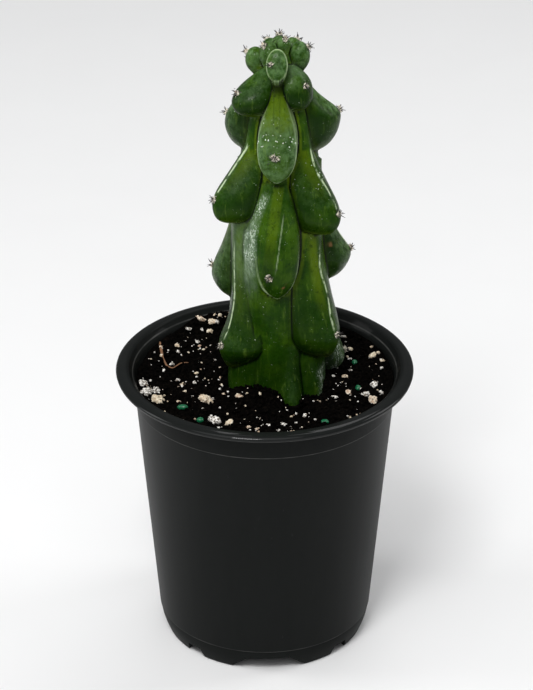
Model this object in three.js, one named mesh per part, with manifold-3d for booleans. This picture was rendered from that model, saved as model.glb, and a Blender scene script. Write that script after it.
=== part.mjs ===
// A potted monstrose myrtle cactus: a ribbed stem whose tubercles droop in tiers, standing in potting mix
// in a round nursery pot. Millimetres, +Z up, the origin under the pot's centre on the foot plane.
// The front of the plant faces -Y. Azimuths are degrees from the front, positive to the right (+X).

import * as THREE from "three";
import { mergeVertices } from "three/addons/utils/BufferGeometryUtils.js";
import Module from "manifold-3d";

const wasm = await Module();
wasm.setup();

// Driving dimensions of the pot
const RIM_RADIUS = 76.2;
const POT_HEIGHT = 152.5;
const WALL = 1.25;
const FOOT_RADIUS = 52.4;
const FOOT_WIDTH = 2.2;
const FOOT_STEP_Z = 12.4;
const FOOT_STEP_RADIUS = 55.95;
const BAND_Z = 135;
const BAND_RADIUS = 66.3;
const BAND_STEP = 0.5;
const STEP_RISE = 0.3;
const NECK_Z = 148;
const NECK_RADIUS = 67.85;
const NECK_FLARE = { radius: 0.9, height: 1.8 };
const FLOOR_UNDERSIDE = 8;
const FLOOR_TOP = 9.4;
const FLOOR_CORNER = 2;
const LIP_TOP_RADIUS = 72;
const LIP_INNER_RADIUS = 69.3;
const LIP_DEPTH = 3.1;
const LIP_ROUNDING = 1.9;
const LIP_WALL = 1.35;
const LIP_CHAMFER = 0.4;
const LIP_INNER_FALL = 1.3;
const POT_SIDES = 48;

// Notches in the foot, four wide ones and four narrow ones between them
const NOTCH_AZIMUTH = 2;
const WIDE_NOTCH = { bottom: 39, top: 22.6, height: 7.7 };
const NARROW_NOTCH = { bottom: 11.5, top: 8, height: 5.5 };
const NOTCH_INNER_RADIUS = 36;
const NOTCH_OUTER_RADIUS = 60;
const DRAIN_HOLE_RADIUS = 4.5;
const DRAIN_CIRCLE_RADIUS = 36;
const DRAIN_SIDES = 14;

// The soil and the clearance that it keeps from the pot and the stem
const SOIL_LEVEL = 143.8;
const CLEARANCE = 0.3;
const STEM_CLEARANCE = 0.5;
const SOIL_RINGS = 8;
const SOIL_FOOT_TAPER = 3;

// Relief of the soil
const RELIEF = [
  // height, place x and y, spread in x and y: heap at the back left, shoulder at the right, dip at
  // the left
  [5.2, -26, 58, 22, 13],
  [1.8, 62, 16, 16, 24],
  [-2, -42, -2, 18, 22],
  // dips at the three front feet of the stem, with a heap between them
  [-4, -21, -8, 10, 10],
  [-6, 16, -29, 7, 9],
  [-3, 28, -16, 9, 8],
  [3.5, -2, -20, 9, 8],
];
const BACK_RISE = { height: 2.6, y: 24, spread: 9 };
const STEM_MOUND = { height: 1.4, radius: 24, spread: 9 };
const COARSE_RIPPLE = { height: 0.6, perX: 0.21, perY: 0.17, phase: 1 };
const FINE_RIPPLE = { height: 0.45, perX: 0.12, perY: 0.33 };

// The stem: its axis, its buried foot and its tip
const STEM_X = 7;
const STEM_Y = 8;
const STEM_FOOT_Z = 108;
const STEM_TIP_Z = 327;
const STEM_SIDES = 58;
const STEM_ROWS = 60;
const REACH = 48;

// Azimuths of the six ribs
const RIBS = [-112, -59, 0, 54, 104, 180];

// Radius of the rib crests and of the grooves between them, by height
const CREST = [
  [108, 17], [120, 23], [143, 27], [165, 26.5], [200, 25.5], [236, 23.5],
  [262, 20.5], [290, 16], [306, 11.5], [318, 7], [324, 4], [327, 0.3],
];
const GROOVE = [
  [108, 14], [120, 20], [143, 24.5], [165, 23.5], [200, 20.5], [236, 17.5],
  [262, 15], [290, 11.5], [306, 8], [318, 5.5], [324, 3.5], [327, 0.3],
];

// Sides of the tubercles: their depth at the neck, how long the chin keeps its width, the rounding of the
// tip, and the scale that makes the measure close to a distance
const NECK_DEPTH_SHARE = 0.5;
const CHIN_WIDTH_SHARE = 0.75;
const TIP_ROUNDING = 4;
const MEASURE_SCALE = 0.8;
const RIDGE_POWER = 1.1;

// Each tubercle runs down its rib from a neck to its tip and ends in a rounded chin. The row holds
// azimuth | neck radius, height | tip radius, height | chin height, radius | half width, depth
// | neck share of the width, section power, flare of the crest, taper of the sides, fullness of the chin
// | blend into the rib | where the areole isn't at the tip, its turn and drop from there
const TUBERCLES = [
  // front rib: the lower pad, the slope at its left, the upper pad, a narrow foot in the soil
  [-1.5, 22, 258, 33, 227, 199, 26.5, 10.8, 6, 0.4, 1.6, 1.2, 1, 3.2, 0.6, -7.5, 14],
  [-27, 17, 266, 28.4, 224, 168, 22, 10.5, 8, 0.5, 1.5, 0.9, 1, 1.3, 4.5],
  [-2.5, 16.5, 309, 29.5, 279, 261, 24, 9.7, 6, 0.24, 2.2, 1.2, 1.5, 2.9, 0.4, -2, 2.6],
  [13, 24, 170, 36.5, 137, 124, 28, 6.8, 11, 0.9, 1.7, 1.2, 1, 2, 2.6],
  // feet of the two front ribs in the soil
  [-60, 25, 172, 29.5, 142, 122, 24, 15, 12, 0.9, 1.5, 1.2, 1, 2, 1.8],
  [43, 24, 172, 31.5, 142, 122, 24, 10.5, 10, 0.9, 1.5, 1.2, 1, 2, 1.2],
  // left front rib
  [-52, 9, 314, 28, 301, 291, 15, 9.8, 11, 0.3, 1.7, 0.8, 1.3, 2.6, 0.5, -4, -3],
  [-59, 14, 285, 38, 250, 234.5, 23, 11, 14, 0.3, 1.5, 1.3, 1.3, 3.5, 0.5],
  [-60, 25.5, 240, 34.4, 167.5, 153.5, 27, 15.6, 13, 0.75, 1.5, 7, 1, 1.5, 0.9],
  // left back rib
  [-112, 12, 306, 28.5, 284, 266, 17, 10.5, 9, 0.35, 1.8, 0.9, 1, 2.4, 0.5],
  [-112, 22, 262, 37, 198.5, 182, 25, 12, 10, 0.4, 1.5, 2.2, 1.3, 1.8, 0.8],
  [-114, 24, 180, 30.5, 152, 140, 26, 12, 9, 0.5, 1.6, 2.5, 1.2, 1.8, 1.2],
  // right front rib
  [42, 8, 315.5, 21.3, 303.5, 293.5, 12, 9.6, 9, 0.35, 1.7, 0.42, 1.1, 2.6, 0.5, 0, -4.5],
  [54, 15, 287, 37, 243, 229, 24, 12, 13, 0.4, 1.5, 1.5, 1.2, 2.6, 0.5],
  [54, 24, 236, 37, 176, 161, 28, 15, 13, 0.7, 1.5, 2, 1, 1.8, 0.9],
  // right back rib
  [103, 14, 306, 31.3, 287, 266, 17, 11.5, 10, 0.35, 1.7, 1.5, 0.9, 2.2, 0.5],
  [104, 22, 262, 38.3, 210, 194, 25, 12, 10, 0.4, 1.5, 2.6, 1.4, 1.6, 0.8],
  [101, 24, 190, 35.5, 153, 140, 26, 11, 9, 0.4, 1.6, 1.6, 1.2, 1.8, 1.2],
  // back rib
  [180, 9, 312, 25, 298, 281, 15, 10.5, 9, 0.35, 1.8, 0.6, 0.9, 2.6, 0.5],
  [179, 17, 290, 37, 236, 220, 24, 14.5, 13, 0.4, 1.5, 1.4, 1, 3, 0.6],
  [180, 24, 228, 35, 170, 156, 27, 16, 13, 0.6, 1.5, 4, 1, 2.4, 1.2],
];

// Rows that bear no areole: the slope beside the lower pad and the three feet in the soil
const PLAIN = [1, 3, 4, 5];

// Young tubercles crowded on the crown: azimuth, radius and height of the middle | half width, height
// and depth | degrees that the areole looks up and aside. The first is the pad in front.
const KNOBS = [
  [-4, 15.6, 318.8, 5.3, 8.3, 3.4, 2, -28],
  [-98, 11.6, 315.5, 5, 6.4, 5, 35, 0],
  [-46, 6.8, 320.8, 4.8, 6.6, 5, 50, 0],
  [28, 4.2, 325, 3.5, 4, 3.6, 60, 0],
  [84, 9.8, 318.4, 5.2, 7.4, 5.3, 40, 0],
  [140, 10, 318, 4.8, 6.4, 4.8, 40, 0],
  [-155, 9.5, 317.5, 5, 6.2, 5, 40, 0],
  [180, 3.2, 323.6, 3.6, 3.6, 3.6, 70, 0],
];
const KNOB_BLEND = 0.4;

// The pad in front: how flat its face is, and how far it looks up
const PAD_POWER = 3.5;
const PAD_TILT = 28;

// Areoles: a tuft of wool with a few short spines on each tubercle, facing slightly up
const WOOL_RADIUS = 1.5;
const AREOLE_SEED = 17;
const SPINES_PER_AREOLE = 4;
const SPINE_LENGTHS = [2.1, 3.6];
const SPINE_RADIUS = 0.35;
const SPINE_SIDES = 3;
const SPINE_UNEVENNESS = 0.6;
const SPINE_SPREAD = 0.95;
const SPINE_ROOT = 1;
const AREOLE_SEAT = 0.4;
const AREOLE_RISE = 0.25;

// Larger pieces in the top of the soil, placed by hand: x, y, length, width
const CHUNKS = [
  // perlite
  [-61, -8, 4.6, 4], [-59, -14.5, 5.6, 4.6], [-54, -13, 5, 4.4], [-25.5, -45, 5.6, 4.2], [-40, 47, 3, 2.4],
  [-33, 46, 3.4, 1.8], [-25.5, 50, 3.2, 3], [-35, 35, 2.8, 2.4], [-45, 26, 2.4, 2], [-48, 15.5, 2.8, 2.4],
  [-36, -2, 3, 2], [-45, 0.5, 2.6, 2.2], [41.5, 41, 4, 2.2], [56, -8, 6, 3.6], [51, -19, 4.2, 3.2],
  [59, -16.5, 3.2, 2.6], [20.5, -33, 3.2, 2.8], [9.5, -47.5, 3.2, 2.8], [44, 6, 3, 1.6], [36, -17, 3.6, 2.2],
  [-26.5, -19.5, 3, 2.4], [-52, 9, 2.2, 2],
  // bark and pumice
  [-34, 53, 7, 3.4], [-28, 50, 5.4, 4.2], [-24, 56, 3.4, 3], [-29, 44, 4.4, 3.4], [-46, 33, 2.8, 2.6],
  [-52, -21.5, 7, 6], [-30, -22.5, 7.2, 6], [-17.5, -48, 5.4, 4], [-13, -21, 5, 2.4], [-21, -11, 4, 2],
  [-35, 8, 2.8, 2.2], [-42.5, -3, 3.4, 1.8], [-3.5, -53, 4, 1.8], [-8, -52, 2.4, 2.2], [56, 19, 5.2, 3.6],
  [59, 22, 3.4, 2.4], [61, 15, 3.2, 2.6], [44.5, 27, 3, 2.6], [55, -23.5, 5.6, 5.4], [43, -16, 4.2, 2.8],
  [41.5, 1, 3.2, 3], [43, -41, 3.8, 1.6], [-43.5, -24, 2.4, 2.2],
  // fertiliser prills
  [-41.5, -29.5, 6, 3.8], [-32, -44.5, 4.2, 3.6], [30, -46.5, 4.2, 3.4], [46.5, 14, 3.6, 3],
  [47.5, -12.5, 3.6, 3],
];
const GRAIN_SEED = 5;
const CRUMB_COUNT = 20;
const CRUMB_SIZE = [1.6, 2.4];
const CRUMB_STRETCH = 1.3;
const CRUMB_INNER_RADIUS = 38;
const CRUMB_OUTER_RADIUS = 62;

// A grain is a little lower than wide and is sunk by about a third of its height
const GRAIN_FLATNESS = 0.85;
const GRAIN_SEAT = 0.12;

// A thin curved twig that lies on the soil to the left
const TWIG_POINTS = [[-55, 34.5], [-53.5, 23], [-51, 14], [-47.5, 11.5], [-43.5, 15.5], [-39.5, 15.5]];
const TWIG_WIDTH = 1.1;
const TWIG_STEPS = 14;
const TWIG_SIDES = 6;

const DEGREE = Math.PI / 180;

function seededRandom(seed) {
  let state = seed;
  return () => {
    state = (state * 1664525 + 1013904223) % 4294967296;
    return state / 4294967296;
  };
}

// Straight lines between the rows of a table of heights and values
function alongHeight(table, z) {
  if (z <= table[0][0]) return table[0][1];
  for (let i = 1; i < table.length; i += 1) {
    const [z0, value0] = table[i - 1];
    const [z1, value1] = table[i];
    if (z <= z1) return value0 + ((value1 - value0) * (z - z0)) / (z1 - z0);
  }
  return table[table.length - 1][1];
}

function clamp(value, low, high) {
  return Math.min(Math.max(value, low), high);
}

// A closed geometry as a solid, with shared vertices merged and collapsed triangles left out
function toSolid(geometry) {
  const bare = new THREE.BufferGeometry();
  bare.setAttribute("position", geometry.getAttribute("position").clone());
  if (geometry.index) bare.setIndex(geometry.index.clone());
  const merged = mergeVertices(bare, 1e-4);
  const kept = [];
  const corners = merged.index.array;
  for (let i = 0; i < corners.length; i += 3) {
    const [a, b, c] = [corners[i], corners[i + 1], corners[i + 2]];
    if (a !== b && b !== c && c !== a) kept.push(a, b, c);
  }
  return new wasm.Manifold(new wasm.Mesh({
    numProp: 3,
    vertProperties: merged.attributes.position.array,
    triVerts: new Uint32Array(kept),
  }));
}

function toMesh(name, solid, material) {
  const { vertProperties, triVerts } = solid.getMesh();
  const geometry = new THREE.BufferGeometry();
  geometry.setAttribute("position", new THREE.BufferAttribute(new Float32Array(vertProperties), 3));
  geometry.setIndex(new THREE.BufferAttribute(new Uint32Array(triVerts), 1));
  geometry.computeVertexNormals();
  const mesh = new THREE.Mesh(geometry, material);
  mesh.name = name;
  return mesh;
}

function between(low, high, share) {
  return low + (high - low) * share;
}

function fuse(solids) {
  return solids.reduce((whole, next) => whole.add(next));
}

// The largest body of a solid, without loose scraps
function mainBody(solid) {
  return solid.decompose().reduce((best, next) => (next.volume() > best.volume() ? next : best));
}

// The pot

function bodyRadius(z) {
  const share = (z - FOOT_STEP_Z) / (BAND_Z - FOOT_STEP_Z);
  if (z <= BAND_Z) return FOOT_STEP_RADIUS + share * (BAND_RADIUS - FOOT_STEP_RADIUS);
  const upper = (z - BAND_Z) / (NECK_Z - BAND_Z);
  return BAND_RADIUS + BAND_STEP + upper * (NECK_RADIUS - BAND_RADIUS - BAND_STEP);
}

// Radius of the wall's inside at a height above the foot's step
function innerRadius(z) {
  return bodyRadius(z) - WALL;
}

// Points along part of an ellipse, with angles in degrees from the outward direction
function arc(centreR, centreZ, halfWidth, halfHeight, from, to, steps) {
  const points = [];
  for (let i = 0; i <= steps; i += 1) {
    const angle = (from + ((to - from) * i) / steps) * DEGREE;
    points.push([centreR + halfWidth * Math.cos(angle), centreZ + halfHeight * Math.sin(angle)]);
  }
  return points;
}

// The foot's outer face, which leans out and steepens up to the fine step
function footFace() {
  const edge = FOOT_STEP_RADIUS - BAND_STEP;
  const points = [];
  const steps = 3;
  for (let i = 0; i <= steps; i += 1) {
    const share = i / steps;
    const lean = Math.sin((share * Math.PI) / 2);
    points.push([FOOT_RADIUS + (edge - FOOT_RADIUS) * lean, (FOOT_STEP_Z - STEP_RISE) * share]);
  }
  return points;
}

function potProfile() {
  const lipEdge = POT_HEIGHT - LIP_DEPTH;
  const lipUnderside = POT_HEIGHT - LIP_WALL;
  const lipInside = RIM_RADIUS - LIP_WALL;
  const floorRadius = innerRadius(FLOOR_TOP + FLOOR_CORNER) - BAND_STEP;
  const roundingZ = POT_HEIGHT - LIP_ROUNDING;
  const innerWidth = LIP_TOP_RADIUS - LIP_INNER_RADIUS;
  return [
    // underside of the floor and inside of the foot
    [0, FLOOR_UNDERSIDE],
    [FOOT_RADIUS - 0.2, FLOOR_UNDERSIDE],
    [FOOT_RADIUS - FOOT_WIDTH, 0],
    ...footFace(),
    [FOOT_STEP_RADIUS, FOOT_STEP_Z],
    // body, the fine step under the plain band, and the neck
    [BAND_RADIUS, BAND_Z - STEP_RISE],
    [BAND_RADIUS + BAND_STEP, BAND_Z],
    [NECK_RADIUS, NECK_Z],
    // underside of the turned-over lip
    [NECK_RADIUS + NECK_FLARE.radius, NECK_Z + NECK_FLARE.height],
    [LIP_TOP_RADIUS - 1, lipUnderside],
    [LIP_TOP_RADIUS + 2, lipUnderside],
    [lipInside, lipEdge + 1],
    [lipInside, lipEdge],
    // outer face and rounded top of the lip
    [RIM_RADIUS - LIP_CHAMFER, lipEdge],
    ...arc(LIP_TOP_RADIUS, roundingZ, RIM_RADIUS - LIP_TOP_RADIUS, LIP_ROUNDING, 0, 90, 3),
    ...arc(LIP_TOP_RADIUS, POT_HEIGHT - LIP_INNER_FALL, innerWidth, LIP_INNER_FALL, 90, 180, 2).slice(1),
    // inside of the wall down to the floor
    [NECK_RADIUS - 0.3, NECK_Z + 1.2],
    [NECK_RADIUS - WALL, NECK_Z - 0.6],
    [BAND_RADIUS - WALL, BAND_Z - 1],
    [floorRadius, FLOOR_TOP + FLOOR_CORNER],
    [floorRadius - FLOOR_CORNER, FLOOR_TOP],
    [0, FLOOR_TOP],
  ];
}

function revolve(profile, sides) {
  const points = profile.map(([r, z]) => new THREE.Vector2(r, z));
  return new THREE.LatheGeometry(points, sides).rotateX(Math.PI / 2);
}

function notchCutter({ bottom, top, height }, azimuth) {
  const below = 1;
  const outline = new THREE.Shape();
  outline.moveTo(-bottom / 2, -below);
  outline.lineTo(bottom / 2, -below);
  outline.lineTo(bottom / 2, 0);
  outline.lineTo(top / 2, height);
  outline.lineTo(-top / 2, height);
  outline.lineTo(-bottom / 2, 0);
  const depth = NOTCH_OUTER_RADIUS - NOTCH_INNER_RADIUS;
  const cutter = new THREE.ExtrudeGeometry(outline, { depth, bevelEnabled: false });
  cutter.rotateX(Math.PI / 2);
  cutter.translate(0, -NOTCH_INNER_RADIUS, 0);
  cutter.rotateZ(azimuth * DEGREE);
  return toSolid(cutter);
}

function drainCutter(radius, azimuth) {
  const height = 3 * (FLOOR_TOP - FLOOR_UNDERSIDE);
  const cutter = new THREE.CylinderGeometry(DRAIN_HOLE_RADIUS, DRAIN_HOLE_RADIUS, height, DRAIN_SIDES);
  cutter.rotateX(Math.PI / 2);
  cutter.translate(0, -radius, (FLOOR_UNDERSIDE + FLOOR_TOP) / 2);
  cutter.rotateZ(azimuth * DEGREE);
  return toSolid(cutter);
}

function makePot() {
  const cutters = [drainCutter(0, 0)];
  for (let quarter = 0; quarter < 4; quarter += 1) {
    const azimuth = NOTCH_AZIMUTH + quarter * 90;
    cutters.push(notchCutter(WIDE_NOTCH, azimuth));
    cutters.push(notchCutter(NARROW_NOTCH, azimuth + 45));
    cutters.push(drainCutter(DRAIN_CIRCLE_RADIUS, azimuth));
  }
  return toSolid(revolve(potProfile(), POT_SIDES)).subtract(fuse(cutters));
}

// The stem

// How close a direction is to a rib's crest: 1 on the crest, 0 in the groove between two ribs
function ridgeShare(azimuth) {
  for (let i = 0; i < RIBS.length; i += 1) {
    const low = RIBS[i];
    const high = i + 1 < RIBS.length ? RIBS[i + 1] : RIBS[0] + 360;
    const turned = azimuth < low ? azimuth + 360 : azimuth;
    if (turned >= low && turned <= high) {
      const share = (turned - low) / (high - low);
      return Math.cos(Math.min(share, 1 - share) * Math.PI) ** RIDGE_POWER;
    }
  }
  return 0;
}

// The smaller of two measures, rounded where they meet
function blend(a, b, radius) {
  const share = clamp(0.5 + (0.5 * (b - a)) / radius, 0, 1);
  return b * (1 - share) + a * share - radius * share * (1 - share);
}

// Signed measure of a point against one tubercle: below zero inside it
function tubercleMeasure(x, y, z, row) {
  const [azimuth, neckR, neckZ, tipR, tipZ, chinZ, chinR, halfWidth, depth,
    neckShare, power, flare, taper, chinPower] = row;
  const turn = azimuth * DEGREE;
  const outward = x * Math.sin(turn) - y * Math.cos(turn);
  const sideways = x * Math.cos(turn) + y * Math.sin(turn);
  if (outward < 0) return REACH;
  const descent = Math.max((neckZ - z) / (neckZ - tipZ), 0);
  const along = Math.min(descent, 1);
  const below = clamp((tipZ - z) / (tipZ - chinZ), 0, 1);
  const slope = neckR + (tipR - neckR) * descent ** flare;
  const chin = chinR + (tipR - chinR) * Math.sqrt(1 - below ** chinPower);
  const crest = blend(slope, chin, TIP_ROUNDING);
  const spread = neckShare + (1 - neckShare) * Math.sin((along * Math.PI) / 2) ** taper;
  const widthCap = Math.sqrt(1 - below ** (chinPower * CHIN_WIDTH_SHARE));
  const width = Math.max(halfWidth * spread * widthCap, 1e-3);
  const thickness = depth * (NECK_DEPTH_SHARE + (1 - NECK_DEPTH_SHARE) * along);
  const rise = Math.max(outward - (crest - thickness), 0) / thickness;
  const section = ((Math.abs(sideways) / width) ** power + rise ** power) ** (1 / power);
  const measure = (section - 1) * Math.min(width, thickness) * MEASURE_SCALE;
  const beyond = Math.max(z - neckZ, chinZ - z);
  return beyond > 0 ? Math.max(measure, 0) + beyond : measure;
}

// Section power and tilt of a knob: the pad in front is flat and looks up, the others are round
function knobKind(row) {
  return row === KNOBS[0] ? { power: PAD_POWER, tilt: PAD_TILT * DEGREE } : { power: 2, tilt: 0 };
}

// Signed measure of a point against one knob of the crown
function knobMeasure(x, y, z, row) {
  const [azimuth, radius, height, halfWidth, halfHeight, halfDepth] = row;
  const { power, tilt } = knobKind(row);
  const turn = azimuth * DEGREE;
  const out = x * Math.sin(turn) - y * Math.cos(turn) - radius;
  const rise = z - height;
  const outward = (out * Math.cos(tilt) + rise * Math.sin(tilt)) / halfDepth;
  const sideways = (x * Math.cos(turn) + y * Math.sin(turn)) / halfWidth;
  const upward = (rise * Math.cos(tilt) - out * Math.sin(tilt)) / halfHeight;
  const section = Math.abs(outward) ** power + Math.hypot(sideways, upward) ** power;
  return (section ** (1 / power) - 1) * Math.min(halfWidth, halfDepth);
}

function stemMeasure(x, y, z) {
  const azimuth = Math.atan2(x, -y) / DEGREE;
  const groove = alongHeight(GROOVE, z);
  const crest = alongHeight(CREST, z);
  let measure = Math.hypot(x, y) - (groove + (crest - groove) * ridgeShare(azimuth));
  measure = Math.max(measure, z - STEM_TIP_Z, STEM_FOOT_Z - z);
  for (const row of TUBERCLES) {
    measure = blend(measure, tubercleMeasure(x, y, z, row), row[14]);
  }
  for (const row of KNOBS) {
    measure = blend(measure, knobMeasure(x, y, z, row), KNOB_BLEND);
  }
  return measure;
}

// Rays fan out from the axis: down at the foot, slightly down along the stem and up at the tip
const RAY_ORIGINS = [[0, 118], [0.07, 122], [0.72, 292], [1, 306]];
const RAY_TILTS = [[0, -90], [0.07, -45], [0.18, -14], [0.64, -8], [0.78, 35], [1, 90]];
const SEARCH_STEP = 0.7;
const SEARCH_HALVINGS = 12;

// How far out the stem's surface lies along a ray from the axis
function surfaceDistance(originZ, dx, dy, dz) {
  const measureAt = (t) => stemMeasure(dx * t, dy * t, originZ + dz * t);
  let inside = REACH;
  while (inside > SEARCH_STEP && measureAt(inside) > 0) inside -= SEARCH_STEP;
  let outside = inside + SEARCH_STEP;
  for (let i = 0; i < SEARCH_HALVINGS; i += 1) {
    const middle = (inside + outside) / 2;
    if (measureAt(middle) > 0) outside = middle;
    else inside = middle;
  }
  return (inside + outside) / 2;
}

// The stem's skin, or one that lies a little outside it
function stemSkin(outset) {
  const geometry = new THREE.SphereGeometry(1, STEM_SIDES, STEM_ROWS).rotateX(Math.PI / 2);
  const position = geometry.getAttribute("position");
  for (let i = 0; i < position.count; i += 1) {
    const x = position.getX(i);
    const y = position.getY(i);
    const share = Math.acos(clamp(-position.getZ(i), -1, 1)) / Math.PI;
    const tilt = alongHeight(RAY_TILTS, share) * DEGREE;
    const originZ = alongHeight(RAY_ORIGINS, share);
    const across = Math.hypot(x, y) || 1;
    const dx = (x / across) * Math.cos(tilt);
    const dy = (y / across) * Math.cos(tilt);
    const dz = Math.sin(tilt);
    const t = surfaceDistance(originZ, dx, dy, dz) + outset;
    position.setXYZ(i, STEM_X + dx * t, STEM_Y + dy * t, originZ + dz * t);
  }
  return toSolid(geometry);
}

// Outward and sideways directions at an azimuth
function directionsAt(azimuth) {
  const turn = azimuth * DEGREE;
  const outward = new THREE.Vector3(Math.sin(turn), -Math.cos(turn), 0);
  const sideways = new THREE.Vector3(Math.cos(turn), Math.sin(turn), 0);
  return { outward, sideways };
}

// Place and outward direction of the areole on a tubercle
function tubercleAreole(row) {
  const [aside, drop] = row.length > 15 ? row.slice(15) : [0, 0];
  const { outward } = directionsAt(row[0] + aside);
  const height = row[4] - drop;
  const reach = surfaceDistance(height, outward.x, outward.y, 0);
  const place = outward.clone().multiplyScalar(reach - AREOLE_SEAT);
  place.add(new THREE.Vector3(STEM_X, STEM_Y, height));
  outward.z = AREOLE_RISE;
  return { place, outward: outward.normalize() };
}

// Place and outward direction of the areole on a knob of the crown
function knobAreole(row) {
  const [azimuth, radius, height, halfWidth, halfHeight, halfDepth, rise, aside] = row;
  const { power, tilt } = knobKind(row);
  const { outward, sideways } = directionsAt(azimuth);
  const middle = new THREE.Vector3(STEM_X, STEM_Y, height).addScaledVector(outward, radius);
  const level = Math.cos(rise * DEGREE);
  const ahead = level * Math.cos(aside * DEGREE);
  const across = level * Math.sin(aside * DEGREE);
  const up = Math.sin(rise * DEGREE);
  const front = outward.clone().multiplyScalar(Math.cos(tilt));
  front.z = Math.sin(tilt);
  const top = outward.clone().multiplyScalar(-Math.sin(tilt));
  top.z = Math.cos(tilt);
  const reach = (ahead ** power + Math.hypot(across, up) ** power) ** (-1 / power);
  const place = middle.addScaledVector(front, ahead * halfDepth * reach);
  place.addScaledVector(sideways, across * halfWidth * reach);
  place.addScaledVector(top, up * halfHeight * reach);
  const facing = front.multiplyScalar(ahead).addScaledVector(sideways, across).addScaledVector(top, up);
  place.addScaledVector(facing, -AREOLE_SEAT);
  return { place, outward: facing.normalize() };
}

function makeSpine(place, direction, length) {
  const spine = new THREE.ConeGeometry(SPINE_RADIUS, length + SPINE_ROOT, SPINE_SIDES, 1);
  spine.translate(0, (length + SPINE_ROOT) / 2 - SPINE_ROOT, 0);
  const up = new THREE.Vector3(0, 1, 0);
  spine.applyQuaternion(new THREE.Quaternion().setFromUnitVectors(up, direction));
  spine.translate(place.x, place.y, place.z);
  return toSolid(spine);
}

function makeAreoles() {
  const random = seededRandom(AREOLE_SEED);
  const solids = [];
  const bearing = TUBERCLES.filter((row, index) => !PLAIN.includes(index));
  const places = [...bearing.map(tubercleAreole), ...KNOBS.map(knobAreole)];
  for (const { place, outward } of places) {
    const wool = new THREE.IcosahedronGeometry(WOOL_RADIUS, 0);
    wool.translate(place.x, place.y, place.z);
    solids.push(toSolid(wool));
    for (let i = 0; i < SPINES_PER_AREOLE; i += 1) {
      const angle = ((i + SPINE_UNEVENNESS * random()) / SPINES_PER_AREOLE) * 2 * Math.PI;
      const side = new THREE.Vector3(Math.cos(angle), Math.sin(angle), 0);
      const axis = new THREE.Vector3(0, 0, 1);
      side.applyQuaternion(new THREE.Quaternion().setFromUnitVectors(axis, outward));
      const direction = outward.clone().addScaledVector(side, SPINE_SPREAD).normalize();
      solids.push(makeSpine(place, direction, between(...SPINE_LENGTHS, random())));
    }
  }
  return solids;
}

function makeStem() {
  return mainBody(fuse([stemSkin(0), ...makeAreoles()]));
}

// The soil

// Height of the soil's surface
function soilHeight(x, y) {
  const coarse = Math.sin(x * COARSE_RIPPLE.perX + COARSE_RIPPLE.phase) * Math.cos(y * COARSE_RIPPLE.perY);
  const fine = Math.sin(y * FINE_RIPPLE.perY + x * FINE_RIPPLE.perX);
  let height = SOIL_LEVEL + COARSE_RIPPLE.height * coarse + FINE_RIPPLE.height * fine;
  height += BACK_RISE.height / (1 + Math.exp((BACK_RISE.y - y) / BACK_RISE.spread));
  for (const [rise, centreX, centreY, spreadX, spreadY] of RELIEF) {
    height += rise * Math.exp(-(((x - centreX) / spreadX) ** 2) - ((y - centreY) / spreadY) ** 2);
  }
  const fromStem = Math.hypot(x - STEM_X, y - STEM_Y);
  return height + STEM_MOUND.height * Math.exp(-(((fromStem - STEM_MOUND.radius) / STEM_MOUND.spread) ** 2));
}

// The block of soil: a taper at the floor, the pot's slope, and rings of points raised to the relief
function soilBody() {
  const bottom = FLOOR_TOP + CLEARANCE;
  const edge = innerRadius(SOIL_LEVEL) - CLEARANCE;
  const foot = innerRadius(FLOOR_TOP + SOIL_FOOT_TAPER) - BAND_STEP - 2 * CLEARANCE;
  const profile = [
    [0, bottom],
    [foot - SOIL_FOOT_TAPER, bottom],
    [foot, bottom + SOIL_FOOT_TAPER],
    [innerRadius(BAND_Z) - CLEARANCE - BAND_STEP, BAND_Z - 1],
  ];
  for (let ring = 0; ring <= SOIL_RINGS; ring += 1) {
    profile.push([edge * (1 - ring / SOIL_RINGS), SOIL_LEVEL]);
  }
  const geometry = revolve(profile, POT_SIDES);
  const position = geometry.getAttribute("position");
  for (let i = 0; i < position.count; i += 1) {
    if (position.getZ(i) > SOIL_LEVEL - 1) {
      position.setZ(i, soilHeight(position.getX(i), position.getY(i)));
    }
  }
  return toSolid(geometry);
}

function makeGrain(x, y, length, width, turn) {
  const grain = new THREE.IcosahedronGeometry(0.5, 0);
  grain.scale(length, width, width * GRAIN_FLATNESS);
  grain.rotateZ(turn);
  grain.translate(x, y, soilHeight(x, y) + width * GRAIN_SEAT);
  return toSolid(grain);
}

function makeGrains() {
  const random = seededRandom(GRAIN_SEED);
  const solids = CHUNKS.map(([x, y, length, width]) => makeGrain(x, y, length, width, random() * Math.PI));
  for (let i = 0; i < CRUMB_COUNT; i += 1) {
    const angle = ((i + random()) / CRUMB_COUNT) * 2 * Math.PI;
    const radius = between(CRUMB_INNER_RADIUS, CRUMB_OUTER_RADIUS, random());
    const size = between(...CRUMB_SIZE, random());
    const [x, y] = [radius * Math.cos(angle), radius * Math.sin(angle)];
    solids.push(makeGrain(x, y, size * CRUMB_STRETCH, size, angle));
  }
  return solids;
}

function makeTwig() {
  const points = TWIG_POINTS.map(([x, y]) => new THREE.Vector3(x, y, soilHeight(x, y)));
  const section = new THREE.Shape();
  for (let side = 0; side < TWIG_SIDES; side += 1) {
    const angle = (side / TWIG_SIDES) * 2 * Math.PI;
    const place = [(TWIG_WIDTH / 2) * Math.cos(angle), (TWIG_WIDTH / 2) * Math.sin(angle)];
    if (side === 0) section.moveTo(...place);
    else section.lineTo(...place);
  }
  const path = new THREE.CatmullRomCurve3(points);
  return toSolid(new THREE.ExtrudeGeometry(section, { steps: TWIG_STEPS, extrudePath: path }));
}

// The soil with its grains and twig, and the plain hole that the stem stands in
function makeSoil() {
  const whole = fuse([soilBody(), makeTwig(), ...makeGrains()]);
  return mainBody(whole.subtract(stemSkin(STEM_CLEARANCE)));
}

// Materials and the finished group

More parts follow.
